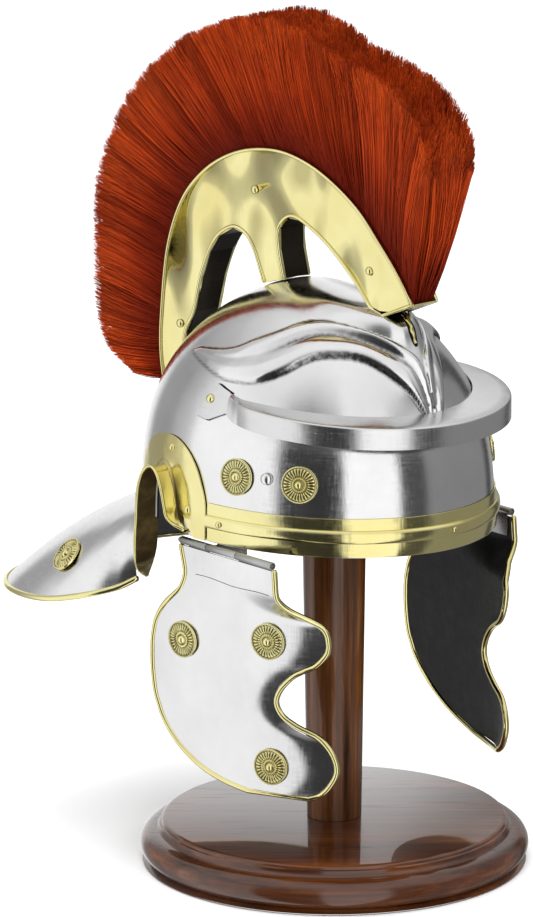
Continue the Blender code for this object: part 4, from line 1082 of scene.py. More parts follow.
class HELMET_OT_brow_guard(bpy.types.Operator):
    """Bend the peak across the forehead with its end tabs"""

    bl_idname = "helmet.brow_guard"
    bl_label = "Brow guard"

    def execute(self, context):
        half = smooth_rows(GUARD_ROWS, 8)
        table = [(-a, rise, reach, lip) for a, rise, reach, lip in half[::-1]] + half[1:]
        rows = [guard_section(*row) for row in table]
        piece = sheet("forehead_guard", rows, STEEL_SHEET, "guard_steel", (0.0, 0.0, 0.2))
        dress(piece, ROOT, "bright_steel", "brow_guard")
        for label, side in SIDES:
            self.tab(label, side)
        return {"FINISHED"}

    def tab(self, label, side):
        """Tab at one end, on a dark sheet a little larger than itself, painted shadow round the tab's edge.
        """
        inward = (0.0, 0.02, 0.3)
        tab = []
        for (a, z), (b, w) in zip(TAB_UPPER, TAB_LOWER):
            tab.append([skull_point(side * (a + t * (b - a)), 0.001 * (z + t * (w - z)), TAB_RISE, keel=False)
                        for t in np.linspace(0.0, 1.0, TAB_STEPS)])
        piece = sheet("guard_tab_" + label, tab, STEEL_SHEET, "guard_steel", inward)
        dress(piece, ROOT, "bright_steel")
        middle = sum((spot for line in tab for spot in line), Vector()) / (TAB_STEPS * len(tab))
        out = Vector((side, 0.0, 0.25)).normalized()
        # Dark sheet just under the tab, painted shadow round its edge
        seat = [[middle + 1.05 * (spot - middle) - 0.0012 * out for spot in line] for line in tab[:-2]]
        piece = sheet("guard_tab_shadow_" + label, seat, TAB_SHADOW_SHEET, "blackened_iron", inward)
        dress(piece, ROOT, "bright_steel")


def flange_points(side, row):
    """Inner and outer edge points of the ear flange for one row of its table."""
    along, up, out, back, lift = row
    y = EAR_Y + EAR_HALF_WIDTH * along
    height = EAR_TOP * up
    angle = angle_at(y, max(height, 0.0))
    seat = skull_point(side * angle, max(height, 0.0), SEAT, keel=False)
    seat.z = RIM_Z + height
    normal = skull_normal(side * angle, max(height, 0.0))
    flat = Vector((normal.x, 0.0, 0.0)).normalized()
    end = seat + out * EAR_FLANGE * flat
    end += Vector((0.0, back * EAR_FLANGE, lift * EAR_FLANGE))
    return seat, end


class HELMET_OT_ears(bpy.types.Operator):
    """Fit the flared flanges and arched plates round the ear openings"""

    bl_idname = "helmet.ears"
    bl_label = "Ear guards"

    def execute(self, context):
        for label, side in SIDES:
            self.flange(label, side)
            self.plate(label, side)
        return {"FINISHED"}

    def collars(self, table):
        """Where the flange's foot starts on the plate, a few millimetres back from its fold."""
        spots = np.array([(EAR_HALF_WIDTH * row[0], EAR_TOP * row[1]) for row in table])
        along = np.gradient(spots, axis=0)
        along /= np.linalg.norm(along, axis=1)[:, None]
        away = np.stack([-along[:, 1], along[:, 0]], axis=1)
        away *= np.sign((away * (spots - np.array([0.0, 0.3 * EAR_TOP]))).sum(axis=1))[:, None]
        reach = 0.0038 * np.clip((np.array(table)[:, 1] - 0.02) / 0.2, 0.08, 1.0)
        return spots + reach[:, None] * away

    def flange(self, label, side):
        rows = []
        edge = []
        table = smooth_rows(FLANGE_ROWS, 5)
        for row, (along, up) in zip(table, self.collars(table)):
            seat, end = flange_points(side, row)
            if row[1] > 0.03:
                lying = side_point(side, float(along) + EAR_Y, max(float(up), 0.0), 0.0024)
                line = [lying, lying.lerp(seat, 0.5) + Vector((side * 0.0012, 0.0, 0.0))]
                seat = seat + Vector((side * 0.0026, 0.0, 0.0))
            else:
                line = [seat.lerp(end, -0.04), seat.lerp(end, -0.02)]
            for t in (0.0, 0.12, 0.35, 0.6, 0.85, 1.0):
                middle = 4.0 * t * (1.0 - t)
                line.append(seat.lerp(end, t) + 0.0006 * middle * Vector((0.0, 0.0, -1.0)))
            rows.append(line)
            edge.append(end)
        piece = sheet("ear_guard_" + label, rows, BRASS_SHEET, "flange_brass_" + label, ear_centre(side))
        dress(piece, ROOT, "pale_brass", "ear_flange_" + label)
        bead = tube("ear_guard_bead_" + label, edge[1:-1], BRASS_SHEET, "polished_brass", 8)
        dress(bead, ROOT, "pale_brass")

    def plate(self, label, side):
        rows = []
        for out_y, out_z, in_y, in_z in smooth_rows(PLATE_ROWS, 4):
            line = []
            for t in (0.0, 0.06, 0.2, 0.36, 0.52, 0.66, 0.76, 0.83, 0.89, 0.94, 0.98, 1.0):
                y = EAR_Y + EAR_HALF_WIDTH * (out_y * (1.0 - t) + in_y * t)
                height = EAR_TOP * (out_z * (1.0 - t) + in_z * t)
                roll = 0.0008 * max(0.0, (t - 0.70) / 0.30) ** 2
                line.append(side_point(side, y, height, 0.0018 + 0.0004 * math.sin(math.pi * t) + roll))
            rows.append(line)
        piece = sheet("ear_surround_" + label, rows, BRASS_SHEET, "polished_brass", (0.0, EAR_Y, RIM_Z))
        dress(piece, ROOT, "pale_brass", "ear_plate_" + label)


def neck_edges():
    """Root angle and outer edge of the neck guard, right side round to the left."""
    edges = []
    for share, width, reach, drop in smooth_rows(NECK_ROWS, 7):
        angle = NECK_ROOT_ANGLE + share * (180.0 - NECK_ROOT_ANGLE)
        edges.append((-angle, -width * NECK_HALF_WIDTH, reach * NECK_REACH, drop * NECK_DROP))
    return edges + [(-a, -x, y, d) for a, x, y, d in edges[-2::-1]]


class HELMET_OT_neck_guard(bpy.types.Operator):
    """Beat out the sloping neck guard and its brass edge"""

    bl_idname = "helmet.neck_guard"
    bl_label = "Neck guard"

    def execute(self, context):
        rows = []
        rim = []
        ways = []
        for row in neck_edges():
            line, edge, slope, normal = self.section(*row)
            rows.append(line)
            rim.append(edge + 0.0007 * normal + 0.0016 * slope)
            ways.append(normal)
        piece = sheet("sloping_neck_guard", rows, STEEL_SHEET, "neck_steel", (0.0, 0.10, 0.0))
        dress(piece, ROOT, "bright_steel", "neck_guard")
        bead = tube("neck_bead", rim, NECK_BEAD, "polished_brass", 12, side_way=ways)
        dress(bead, ROOT, "pale_brass", "neck_guard_trim")
        return {"FINISHED"}

    def section(self, angle, x, reach, drop):
        """Points from the root to the edge, with the edge, its slope and its outer side."""
        top = skull_point(angle, 0.006, SEAT, keel=False)
        root = skull_point(angle, 0.0, SEAT, keel=False)
        normal = skull_normal(angle, 0.0)
        flat = Vector((normal.x, normal.y, 0.0)).normalized()
        edge = Vector((x, HELMET_Y + reach, RIM_Z - drop))
        slope = (edge - root).normalized()
        normal = Vector((-flat.y, flat.x, 0.0)).cross(slope)
        if normal.dot(flat + Vector((0.0, 0.0, 1.0))) < 0.0:
            normal = -normal
        normal.normalize()
        line = [top + STEEL_SHEET * flat, root + Vector((0.0, 0.0, 0.0025)) + STEEL_SHEET * flat]
        fade = min(1.0, 3.0 * (edge - root).length / NECK_REACH)
        for t in np.linspace(0.0, 1.0, 14):
            bulge = NECK_BULGE * math.sin(math.pi * t) * fade
            way = flat.lerp(normal, min(1.0, 4.0 * t)).normalized()
            line.append(root.lerp(edge, float(t)) + bulge * normal + STEEL_SHEET * way)
        return line, edge, slope, normal


def inset_outline(points, distance):
    """Closed outline moved inward by a distance, corners mitred."""
    line = np.array(points)
    before = line - np.roll(line, 1, axis=0)
    after = np.roll(line, -1, axis=0) - line
    before /= np.linalg.norm(before, axis=1)[:, None]
    after /= np.linalg.norm(after, axis=1)[:, None]
    along = before + after
    along /= np.maximum(np.linalg.norm(along, axis=1)[:, None], 1e-6)
    mitre = 1.0 / np.maximum((along * after).sum(axis=1), 0.6)
    area = float(np.sum(line[:, 0] * np.roll(line[:, 1], -1) - line[:, 1] * np.roll(line[:, 0], -1)))
    side = 1.0 if area > 0.0 else -1.0
    inward = np.stack([-along[:, 1], along[:, 0]], axis=1) * side
    return line + distance * mitre[:, None] * inward


def surface_frame(angle, height):
    """Point on the skull with its keel, the direction outward, and the direction upward."""
    step = 0.0015
    point = skull_point(angle, height)
    across = skull_point(angle + 0.8, height) - skull_point(angle - 0.8, height)
    upward = skull_point(angle, height + step) - skull_point(angle, height - step)
    return point, across.cross(upward).normalized(), upward.normalized()


class HELMET_OT_crest(bpy.types.Operator):
    """Finish the crest box with rolled brass edges and its tongue in the skull's slot"""

    bl_idname = "helmet.crest"
    bl_label = "Crest box"

    def execute(self, context):
        outer = smooth_rows(crest_outline(CREST_OUTER), 6)
        inner = crest_outline(CREST_INNER)
        foot = crest_outline(CREST_FRONT_FOOT)
        front = smooth_rows(inner[:WINDOW_CORNER], 5)
        rear = smooth_rows(inner[WINDOW_CORNER + 1:], 5)
        outline = inset_outline(outer + foot + front + [inner[WINDOW_CORNER]] + rear, 0.9 * CREST_BEAD)
        first = len(outer) + len(foot) + len(front)
        for label, side in SIDES:
            x = side * (CREST_HALF_WIDTH + 0.25 * CREST_BEAD)
            for part, line in (("rim", outline[:first]), ("window", outline[first + 1:])):
                path = [(x, float(y), float(z)) for y, z in line]
                ways = [Vector((side, 0.0, 0.0))] * len(path)
                bead = tube("crest_%s_%s" % (part, label), path, CREST_BEAD, "polished_brass", side_way=ways)
                dress(bead, ROOT, "pale_brass")
        for node, material in CREST_FINISHES:
            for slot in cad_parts[node].material_slots:
                slot.material = bpy.data.materials[material]
        self.tongue("slot_shadow", "blackened_iron", "bright_steel", 0.0029, 0.00012, 0.0, 0.02)
        self.tongue("crest_tongue", "polished_brass", "pale_brass", 0.0015, 0.0015, 0.09, 0.30)
        return {"FINISHED"}

    def tongue(self, name, material, slot, half, proud, inset, waver):
        """Narrow strip along the slot in the forehead."""
        rings = []
        for t in np.linspace(inset, 1.0 - inset, 15):
            point, out, up = surface_frame(0.0, SLOT_FOOT + SLOT_LENGTH * float(t))
            across = up.cross(out)
            taper = math.sin(math.pi * clamp(float(t), 0.02, 0.98)) ** 0.35
            wide = half * taper * (1.0 + waver * math.sin(17.0 * float(t)))
            high = proud * (0.75 + 0.25 * math.sin(23.0 * float(t)))
            turns = [math.radians(turn) for turn in range(0, 360, 36)]
            rings.append([point + wide * math.cos(turn) * across + high * max(math.sin(turn), -0.3) * out
                          for turn in turns])
        dress(new_object(name, loft(rings, caps=True), material, 60.0), ROOT, slot)


class HELMET_OT_plume(bpy.types.Operator):
    """Grow the fan of dyed horsehair from the crest's groove"""

    bl_idname = "helmet.plume"
    bl_label = "Plume"

    def execute(self, context):
        sizes = context.scene.helmet_sizes
        outer = np.array(smooth_rows(crest_outline(CREST_OUTER), 6))
        tips = np.array(smooth_rows(crest_outline(PLUME_TIPS), 6))
        self.backing(outer, tips)
        for seed, (label, low, high) in enumerate(HAIR_SPANS):
            chance = np.random.default_rng(HAIR_SEED + seed)
            piece = self.strands("horsehair_" + label, outer, tips, low, high, sizes, chance)
            dress(piece, ROOT, "red_hair")
        return {"FINISHED"}

    def backing(self, outer, tips):
        """Dense middle of the plume, hidden under the outer hair and darkened as painted shade."""
        rings = []
        for share in np.linspace(0.03, 0.97, 72):
            base, tip = place_along(outer, share), place_along(tips, share)
            ring = []
            for t, wide in ((-0.02, 0.0082), (0.15, 0.0100), (0.45, 0.0135), (0.75, 0.0170), (0.90, 0.0140)):
                y, z = base + t * (tip - base)
                ring.append((wide, float(y), float(z)))
            rings.append(ring + [(-x, y, z) for x, y, z in ring[::-1]])
        bm = loft(rings, caps=True)
        layer = bm.verts.layers.float_color.new("strand")
        # Values that pull the backing towards the root colour: painted shade in the plume's depth
        for vert in bm.verts:
            vert[layer] = (0.35, 0.30, 0.3, 1.0)
        dress(new_object("plume_backing", bm, "dyed_hair", 60.0), ROOT, "red_hair", "plume")

    def strands(self, name, outer, tips, low, high, sizes, chance):
        """A share of the plume: each strand's root, way, bow and width, drawn and painted."""
        count = sizes.hair_count
        share = np.sort(chance.uniform(0.0, 1.0, count))
        wide = chance.uniform(low, high, count)
        base = place_along(outer, 0.015 + 0.97 * share)
        tuft = np.floor(share * TUFTS + 2.0 * np.sin(9.0 * wide))
        locks = np.random.default_rng(LOCK_SEED).uniform(0.0, 1.0, LOCKS)
        lock = locks[(tuft + 40).astype(int) % LOCKS]
        tip_at = share + 0.011 * chance.uniform(-1.0, 1.0, count)
        tip_at = np.clip(tip_at + 0.45 * ((tuft + 0.5) / TUFTS - tip_at) * (np.abs(wide) > 0.3), 0.0, 1.0)
        way = place_along(tips, tip_at) - base
        length = 1.0 - 0.035 * chance.uniform(0.0, 1.0, count) ** 2 - 0.038 * lock
        length -= 0.05 * (chance.uniform(0.0, 1.0, count) > 0.93)
        bow = 0.035 * np.sin(share * 21.0 + 3.0 * wide) + 0.018 * chance.normal(0.0, 1.0, count)
        bow += 0.075 * (lock - 0.5)
        spread = (PLUME_HALF_WIDTH - 0.0004) * (1.0 - 0.05 * chance.uniform(0.0, 1.0, count))
        drift = chance.normal(0.0, 0.0009, count)
        curve = self.grow(name, sizes.hair_radius, base, way, length, bow, wide, spread, drift)
        mesh = self.to_mesh(name, curve)
        self.paint(mesh, count, lock, chance)
        return add_object(name, mesh)

    def grow(self, name, radius, base, way, length, bow, wide, spread, drift):
        """Curve with one spline for each strand, thinner towards its tip."""
        curve = bpy.data.curves.new(name, "CURVE")
        curve.dimensions = "3D"
        curve.bevel_mode = "OBJECT"
        curve.bevel_object = self.section(radius)
        sideways = np.stack([-way[:, 1], way[:, 0]], axis=1)
        for i in range(len(base)):
            spline = curve.splines.new("POLY")
            spline.points.add(STRAND_POINTS - 1)
            for k in range(STRAND_POINTS):
                t = k / (STRAND_POINTS - 1)
                swell = math.sin(math.pi * t)
                y, z = base[i] + way[i] * (t * length[i] - 0.03 * (1.0 - t)) + sideways[i] * bow[i] * swell
                x = wide[i] * (GROOVE_HALF_WIDTH + (spread[i] - GROOVE_HALF_WIDTH) * t ** 0.8)
                spline.points[k].co = (x + drift[i] * swell, y, z, 1.0)
                spline.points[k].radius = 1.0 - 0.55 * t ** 3
        return curve

    def to_mesh(self, name, curve):
        """The curve's surface as a mesh, without the curve and its section."""
        holder = add_object(name + "_curve", curve)
        bpy.context.view_layer.update()
        mesh = bpy.data.meshes.new_from_object(holder.evaluated_get(bpy.context.evaluated_depsgraph_get()))
        bpy.data.objects.remove(curve.bevel_object)
        bpy.data.objects.remove(holder)
        mesh.name = name
        mesh.materials.clear()
        mesh.materials.append(bpy.data.materials["dyed_hair"])
        mesh.shade_smooth()
        return mesh

    def section(self, radius):
        """Three-cornered section that a strand is drawn through."""
        outline = bpy.data.curves.new("strand_section", "CURVE")
        outline.dimensions = "2D"
        spline = outline.splines.new("POLY")
        spline.points.add(2)
        for k in range(3):
            turn = 2.0 * math.pi * k / 3.0
            spline.points[k].co = (radius * math.cos(turn), radius * math.sin(turn), 0.0, 1.0)
        spline.use_cyclic_u = True
        return add_object("strand_section", outline)

    def paint(self, mesh, count, lock, chance):
        """Shade, place along the strand and lock, kept in a colour attribute."""
        total = len(mesh.vertices)
        each = total // count
        values = np.ones((total, 4), np.float32)
        values[:, 0] = np.repeat(chance.uniform(0.0, 1.0, count), each)
        along = np.repeat(np.linspace(0.0, 1.0, STRAND_POINTS), each // STRAND_POINTS)
        values[:, 1] = np.tile(along, count)
        values[:, 2] = np.repeat(lock, each)
        layer = mesh.attributes.new("strand", "FLOAT_COLOR", "POINT")
        layer.data.foreach_set("color", values.ravel())


def cheek_edges(steps):
    """Height, rear Y and front Y of the cheek plate, top to bottom."""
    rows = []
    for drop, rear, front in smooth_rows(CHEEK_ROWS, steps):
        rows.append((CHEEK_TOP_Z - drop * CHEEK_DROP, rear * CHEEK_REAR, -front * CHEEK_FRONT))
    return rows


class HELMET_OT_cheek_guards(bpy.types.Operator):
    """Shape the hinged cheek plates with their beads"""

    bl_idname = "helmet.cheek_guards"
    bl_label = "Cheek guards"

    def execute(self, context):
        for label, side in SIDES:
            body = "cheek_guard_" + label
            rows = []
            for z, rear, front in cheek_edges(4):
                rows.append([cheek_point(side, rear + float(t) * (front - rear), z, 0.5 * CHEEK_SHEET)
                             for t in np.linspace(0.0, 1.0, 24)])
            piece = sheet("cheek_plate_" + label, rows, CHEEK_SHEET, "cheek_steel_" + label, CHEEK_CENTRE)
            dress(piece, body, "bright_steel", "cheek_guard_" + label)
            self.bead(label, side, body, context.scene.helmet_sizes.bead_radius)
            # Thin dark line along the crease, painted shade in the fold
            shade_line = []
            for t in np.linspace(0.03, 0.97, 24):
                z = CREASE_Z + 0.0006 * math.sin(9.0 * float(t))
                shade_line.append(cheek_point(side, 0.019 - 0.077 * float(t), z, 0.0005))
            piece = tube("cheek_crease_shade_" + label, shade_line, 0.00028, "blackened_iron", 6)
            dress(piece, body, "bright_steel")
        return {"FINISHED"}

    def bead(self, label, side, body, radius):
        """Brass bead folded round the free edge."""
        edges = cheek_edges(4)
        loop = np.array([(rear, z) for z, rear, _ in edges] + [(front, z) for z, _, front in edges[::-1]])
        path = []
        ways = []
        for i, place in enumerate(loop):
            along = loop[min(i + 1, len(loop) - 1)] - loop[max(i - 1, 0)]
            along = along / max(np.linalg.norm(along), 1e-9)
            y, z = [float(value) for value in place + 0.0017 * np.array([-along[1], along[0]])]
            path.append((side * cheek_x(y, z), y, z))
            ways.append(cheek_normal(side, float(place[0]), float(place[1])))
        bead = tube("cheek_bead_" + label, path, radius, "polished_brass", 12, flat=0.95, side_way=ways)
        dress(bead, body, "pale_brass", "cheek_trim_" + label)


def barrel(bm, x, rear, front, radius, bore=0.0):
    """Round barrel along Y on the hinge's axis, its ends softened and bored if asked."""
    half = 0.5 * (rear - front)
    soft = 0.18 * radius
    end = [(radius, half - soft), (radius - 0.3 * soft, half - 0.3 * soft), (radius - soft, half)]
    if bore:
        end += [(bore, half), (bore, half - 0.0015)]
    end.append((0.0, end[-1][1]))
    profile = [(reach, -up) for reach, up in end[::-1]] + end
    old = set(bm.verts)
    lathe(bm, profile, 24)
    place = Matrix.Translation((x, 0.5 * (rear + front), HINGE_Z)) @ Matrix.Rotation(math.pi / 2, 4, "X")
    bmesh.ops.transform(bm, matrix=place, verts=[vert for vert in bm.verts if vert not in old])


def plate(bm, low, high):
    """Flat leaf between two corners."""
    size = Vector(high) - Vector(low)
    middle = (Vector(high) + Vector(low)) / 2.0
    made = bmesh.ops.create_cube(bm, size=1.0)
    bmesh.ops.scale(bm, vec=size, verts=made["verts"])
    bmesh.ops.translate(bm, vec=middle, verts=made["verts"])


class HELMET_OT_hinges(bpy.types.Operator):
    """Fit the barrels, leaves and pins that carry the cheek guards"""

    bl_idname = "helmet.hinges"
    bl_label = "Hinges"

    def execute(self, context):
        for label, side in SIDES:
            self.leaf(label, side)
            self.bracket(label, side)
            self.pin(label, side)
        return {"FINISHED"}

    def leaf(self, label, side):
        """Two barrels on a leaf that is cut away between them."""
        x = side * HINGE_X
        rear, front = BRACKET_REAR_Y + LEAF_GAP, BRACKET_FRONT_Y - LEAF_GAP
        bm = bmesh.new()
        barrel(bm, x, HINGE_REAR_Y, rear, HINGE_RADIUS, BORE_RADIUS)
        barrel(bm, x, front, HINGE_FRONT_Y, HINGE_RADIUS, BORE_RADIUS)
        low, high = sorted((side * (HINGE_X - 0.0019), side * (HINGE_X - 0.0009)))
        plate(bm, (low, HINGE_FRONT_Y + 0.003, LEAF_Z), (high, front, HINGE_Z))
        plate(bm, (low, rear, LEAF_Z), (high, HINGE_REAR_Y - 0.006, HINGE_Z))
        plate(bm, (low, front, LEAF_Z), (high, rear, 0.2286))
        bmesh.ops.bevel(bm, geom=[e for e in bm.edges if e.calc_face_angle(0.0) > 1.0], offset=0.0003,
                        segments=2, affect="EDGES", profile=0.5, material=-1)
        leaf = new_object("hinge_leaf_" + label, bm, "hinge_steel", 35.0)
        dress(leaf, "cheek_guard_" + label, "bright_steel", "cheek_hinge_" + label)

    def bracket(self, label, side):
        """Middle barrel on the bracket that hangs from the rim."""
        bm = bmesh.new()
        barrel(bm, side * HINGE_X, BRACKET_REAR_Y, BRACKET_FRONT_Y, HINGE_RADIUS)
        low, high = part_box("hinge_bracket_" + label)
        near = sorted((low.x, high.x), key=abs)[0]
        for far, top in ((abs(near) + 0.001, high.z), (HINGE_X - 0.001, HINGE_Z + 0.0005)):
            xs = sorted((near, side * far))
            plate(bm, (xs[0], BRACKET_FRONT_Y, HINGE_Z - 0.0005), (xs[1], BRACKET_REAR_Y, top))
        piece = new_object("rim_bracket_" + label, bm, "hinge_steel", 35.0)
        dress(piece, ROOT, "bright_steel", "hinge_bracket_" + label)

    def pin(self, label, side):
        """Pin through the barrels, with a round head behind."""
        bm = bmesh.new()
        x = side * HINGE_X
        barrel(bm, x, HINGE_REAR_Y + 0.0008, HINGE_FRONT_Y + 0.0011, PIN_RADIUS)
        bmesh.ops.create_uvsphere(bm, u_segments=16, v_segments=8, radius=PIN_HEAD,
                                  matrix=Matrix.Translation((x, HINGE_REAR_Y + 0.0009, HINGE_Z)))
        pin = new_object("hinge_pin_" + label + "_round", bm, "hinge_steel", 35.0)
        dress(pin, ROOT, "bright_steel", "hinge_pin_" + label)


def rosette_mesh(radius):
    """Stamped rosette: plain rim, fluted field, notched ring and a domed middle."""
    bm = lathe(bmesh.new(), [(share * radius, height) for share, height in ROSETTE_PROFILE], 168)
    # The recess attribute paints shade into the flutes and the ring grooves
    recess = bm.verts.layers.float.new("recess")
    for vert in bm.verts:
        if vert.co.z < 0.0008:
            continue
        reach = math.hypot(vert.co.x, vert.co.y) / radius
        turn = math.atan2(vert.co.y, vert.co.x)
        if 0.47 < reach < 0.89:
            groove = abs(math.cos(FLUTES * turn)) ** 3
            vert.co.z -= 0.0012 * groove * min(1.0, 9.0 * (reach - 0.47), 14.0 * (0.89 - reach))
            vert[recess] = 0.95 * groove
        elif 0.93 < reach < 0.99:
            vert.co.z += 0.0003 * math.cos(RIM_NOTCHES * turn)
        elif 0.30 < reach < 0.43:
            vert.co.z += 0.0004 * math.cos(RING_NOTCHES * turn)
        if 0.43 < reach < 0.48 or 0.885 < reach < 0.92 or 0.24 < reach < 0.29:
            vert[recess] = 0.65
    return bm


class HELMET_OT_ornaments(bpy.types.Operator):
    """Set the rosettes and rivets"""

    bl_idname = "helmet.ornaments"
    bl_label = "Rosettes and rivets"

    def execute(self, context):
        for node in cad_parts:
            if "rosette" in node:
                self.stamp(node, context.scene.helmet_sizes.rosette_radius)
            elif "rivet" in node:
                self.rivet(node)
        return {"FINISHED"}

    def seat(self, node):
        """Centre of a flat-backed ornament's back, its direction, radius and height."""
        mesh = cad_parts[node].data
        areas = {}
        for face in mesh.polygons:
            key = tuple(round(value, 2) for value in face.normal)
            areas[key] = areas.get(key, 0.0) + face.area
        back = Vector(max(areas, key=areas.get)).normalized()
        places = [vert.co.copy() for vert in mesh.vertices]
        deep = max(place.dot(back) for place in places)
        rim = [place for place in places if deep - place.dot(back) < 0.0001]
        low = Vector([min(place[k] for place in rim) for k in range(3)])
        high = Vector([max(place[k] for place in rim) for k in range(3)])
        centre = (low + high) / 2.0
        radius = max((place - centre).length for place in rim)
        height = deep - min(place.dot(back) for place in places)
        return centre, -back, radius, height

    def body(self, node):
        label = "right" if "right" in node else "left"
        return "cheek_guard_" + label if node.startswith("cheek") else ROOT

    def stamp(self, node, radius):
        centre, way, _, _ = self.seat(node)
        bm = rosette_mesh(radius)
        bm.transform(frame_at(centre, way))
        dress(new_object(node + "_stamped", bm, "stamped_brass", 60.0), self.body(node), "pale_brass", node)

    def rivet(self, node):
        centre, way, radius, height = self.seat(node)
        profile = [(0.0, 0.0), (radius, 0.0), (radius, 0.12 * height)]
        profile += arc((0.0, 0.12 * height), (radius, 0.88 * height), (15, 35, 55, 75))
        profile.append((0.0, height))
        bm = lathe(bmesh.new(), profile, 28)
        bm.transform(frame_at(centre, way))
        steel = node.startswith("bowl")
        piece = new_object(node + "_domed", bm, "polished_steel" if steel else "polished_brass", 50.0)
        dress(piece, self.body(node), "bright_steel" if steel else "pale_brass", node)


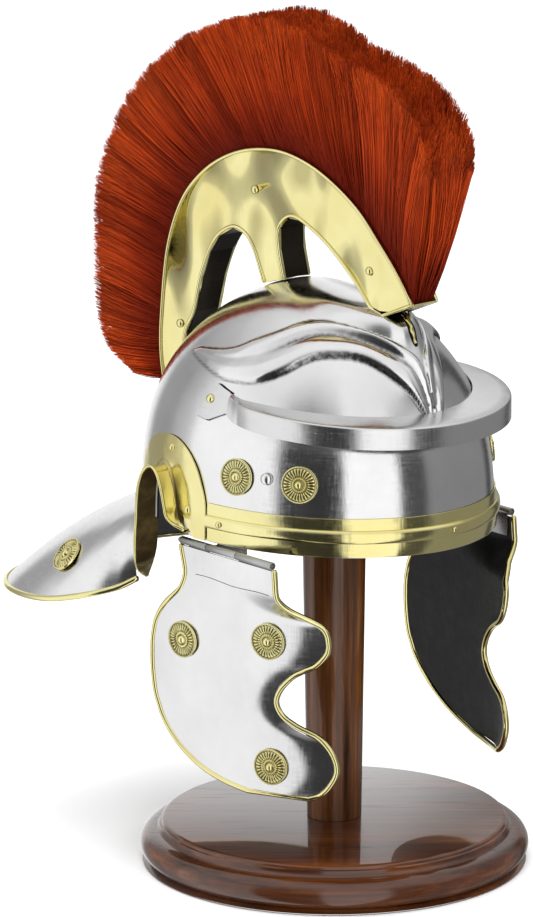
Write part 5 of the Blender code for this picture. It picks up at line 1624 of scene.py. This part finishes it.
class HELMET_OT_stage(bpy.types.Operator):
    """Lay the pale floor and set the camera and soft lights"""

    bl_idname = "helmet.stage"
    bl_label = "Stage"

    def execute(self, context):
        self.camera(context)
        self.floor()
        for name, place, width, height, power in SOFTBOXES:
            self.softbox(name, place, width, height, power)
        sky = self.lamp("overhead_fill", "SUN", (0.0, 0.0, 3.0), 0.9)
        sky.data.angle = math.radians(70.0)
        context.scene.view_settings.view_transform = "Standard"
        self.world()
        return {"FINISHED"}

    def floor(self):
        """Pale floor, out of the metal's reflections."""
        bm = bmesh.new()
        bmesh.ops.create_grid(bm, x_segments=1, y_segments=1, size=FLOOR_HALF)
        tree, shader, coordinates = principled("pale_floor")
        cloud = add_noise(tree, coordinates.outputs["Object"], 3.0, 3.0)
        tint = mix_colour(tree, cloud, (0.93, 0.93, 0.93), (0.96, 0.96, 0.96))
        feed(tree, shader.inputs["Base Color"], tint)
        shader.inputs["Roughness"].default_value = 0.8
        shader.inputs["Specular IOR Level"].default_value = 0.1
        floor = new_object("floor", bm, "pale_floor")
        floor.visible_glossy = False

    def camera(self, context):
        """Camera at the photograph's viewing angle."""
        azimuth = math.radians(AZIMUTH)
        elevation = math.radians(ELEVATION)
        back = Vector((math.sin(azimuth) * math.cos(elevation), -math.cos(azimuth) * math.cos(elevation),
                       math.sin(elevation)))
        data = bpy.data.cameras.new("camera")
        camera = add_object("camera", data)
        camera.location = Vector(AIM) + DISTANCE * back
        camera.rotation_euler = back.to_track_quat("Z", "Y").to_euler()
        data.sensor_width = SENSOR
        data.lens = SENSOR * DISTANCE / (PICTURE_HEIGHT * METRES_PER_PIXEL)
        data.shift_x = -(AIM_IN_PICTURE[0] - PICTURE_CENTRE[0]) / PICTURE_HEIGHT
        data.shift_y = -(PICTURE_CENTRE[1] - AIM_IN_PICTURE[1]) / PICTURE_HEIGHT
        data.clip_end = 50.0
        context.scene.camera = camera

    def lamp(self, name, kind, place, power):
        """Lamp that the polished metal doesn't mirror."""
        data = bpy.data.lights.new(name, kind)
        data.energy = power
        lamp = add_object(name, data)
        lamp.location = place
        lamp.visible_glossy = False
        return lamp

    def softbox(self, name, place, width, height, power):
        """Rectangular lamp turned to the helmet."""
        lamp = self.lamp(name, "AREA", place, power)
        lamp.data.shape = "RECTANGLE"
        lamp.data.size = width
        lamp.data.size_y = height
        way = Vector(place) - Vector(LAMP_AIM)
        lamp.rotation_euler = way.to_track_quat("Z", "Y").to_euler()

    def world(self):
        """Soft studio surroundings with dark screens for the polished metal to mirror."""
        world = bpy.data.worlds.new("studio")
        bpy.context.scene.world = world
        world.use_nodes = True
        tree = world.node_tree
        background = tree.nodes["Background"]
        coordinates = tree.nodes.new("ShaderNodeTexCoord")
        split = add_node(tree, "ShaderNodeSeparateXYZ", Vector=coordinates.outputs["Generated"])
        back = times(tree, split.outputs["Y"], -1.0)
        round_way = maths(tree, "ARCTAN2", split.outputs["X"], back)
        share = add(tree, times(tree, round_way, 0.5 / math.pi), 0.5)
        low = self.screens(tree, share, LOW_SCREENS)
        high = self.screens(tree, share, HIGH_SCREENS)
        tint = mix_colour(tree, ramp(tree, split.outputs["Z"], 0.25, 0.65), low, high)
        tint = mix_colour(tree, ramp(tree, split.outputs["Z"], 0.6, 0.95), tint, CEILING)
        seen = tree.nodes.new("ShaderNodeLightPath").outputs["Is Camera Ray"]
        tint = mix_colour(tree, seen, tint, BACKDROP)
        feed(tree, background.inputs["Color"], tint)
        background.inputs["Strength"].default_value = WORLD_STRENGTH

    def screens(self, tree, share, stops):
        """Brightness round the horizon, from stops of azimuth in degrees and level."""
        node = add_node(tree, "ShaderNodeValToRGB", Fac=share)
        while len(node.color_ramp.elements) < len(stops):
            node.color_ramp.elements.new(1.0)
        for element, (azimuth, level) in zip(node.color_ramp.elements, stops):
            element.position = azimuth / 360.0 + 0.5
            element.color = (level, level, level, 1.0)
        return node.outputs["Color"]


class HELMET_PT_panel(bpy.types.Panel):
    """Sizes, colours and building steps of the helmet"""

    bl_idname = "HELMET_PT_panel"
    bl_label = "Crested helmet"
    bl_space_type = "VIEW_3D"
    bl_region_type = "UI"
    bl_category = "Helmet"

    def draw(self, context):
        layout = self.layout
        for group in (context.scene.helmet_sizes, context.scene.helmet_colours):
            box = layout.box()
            for name in group.__annotations__:
                box.prop(group, name)
        for operator in STEPS:
            layout.operator(operator.bl_idname)


STEPS = (
    HELMET_OT_stage,
    HELMET_OT_stand,
    HELMET_OT_skull,
    HELMET_OT_brow_band,
    HELMET_OT_brow_guard,
    HELMET_OT_ears,
    HELMET_OT_neck_guard,
    HELMET_OT_crest,
    HELMET_OT_plume,
    HELMET_OT_cheek_guards,
    HELMET_OT_hinges,
    HELMET_OT_ornaments,
)
CLASSES = (HelmetSizes, HelmetColours) + STEPS + (HELMET_PT_panel,)


def register():
    for item in CLASSES:
        bpy.utils.register_class(item)
    bpy.types.Scene.helmet_sizes = PointerProperty(type=HelmetSizes)
    bpy.types.Scene.helmet_colours = PointerProperty(type=HelmetColours)


def unregister():
    del bpy.types.Scene.helmet_colours
    del bpy.types.Scene.helmet_sizes
    for item in reversed(CLASSES):
        bpy.utils.unregister_class(item)


def main():
    register()
    materials()
    bpy.ops.helmet.stage()
    bpy.ops.helmet.stand()
    bpy.ops.helmet.skull()
    bpy.ops.helmet.brow_band()
    bpy.ops.helmet.brow_guard()
    bpy.ops.helmet.ears()
    bpy.ops.helmet.neck_guard()
    bpy.ops.helmet.crest()
    bpy.ops.helmet.plume()
    bpy.ops.helmet.cheek_guards()
    bpy.ops.helmet.hinges()
    bpy.ops.helmet.ornaments()
    bpy.context.view_layer.update()


if __name__ == "__main__":
    main()
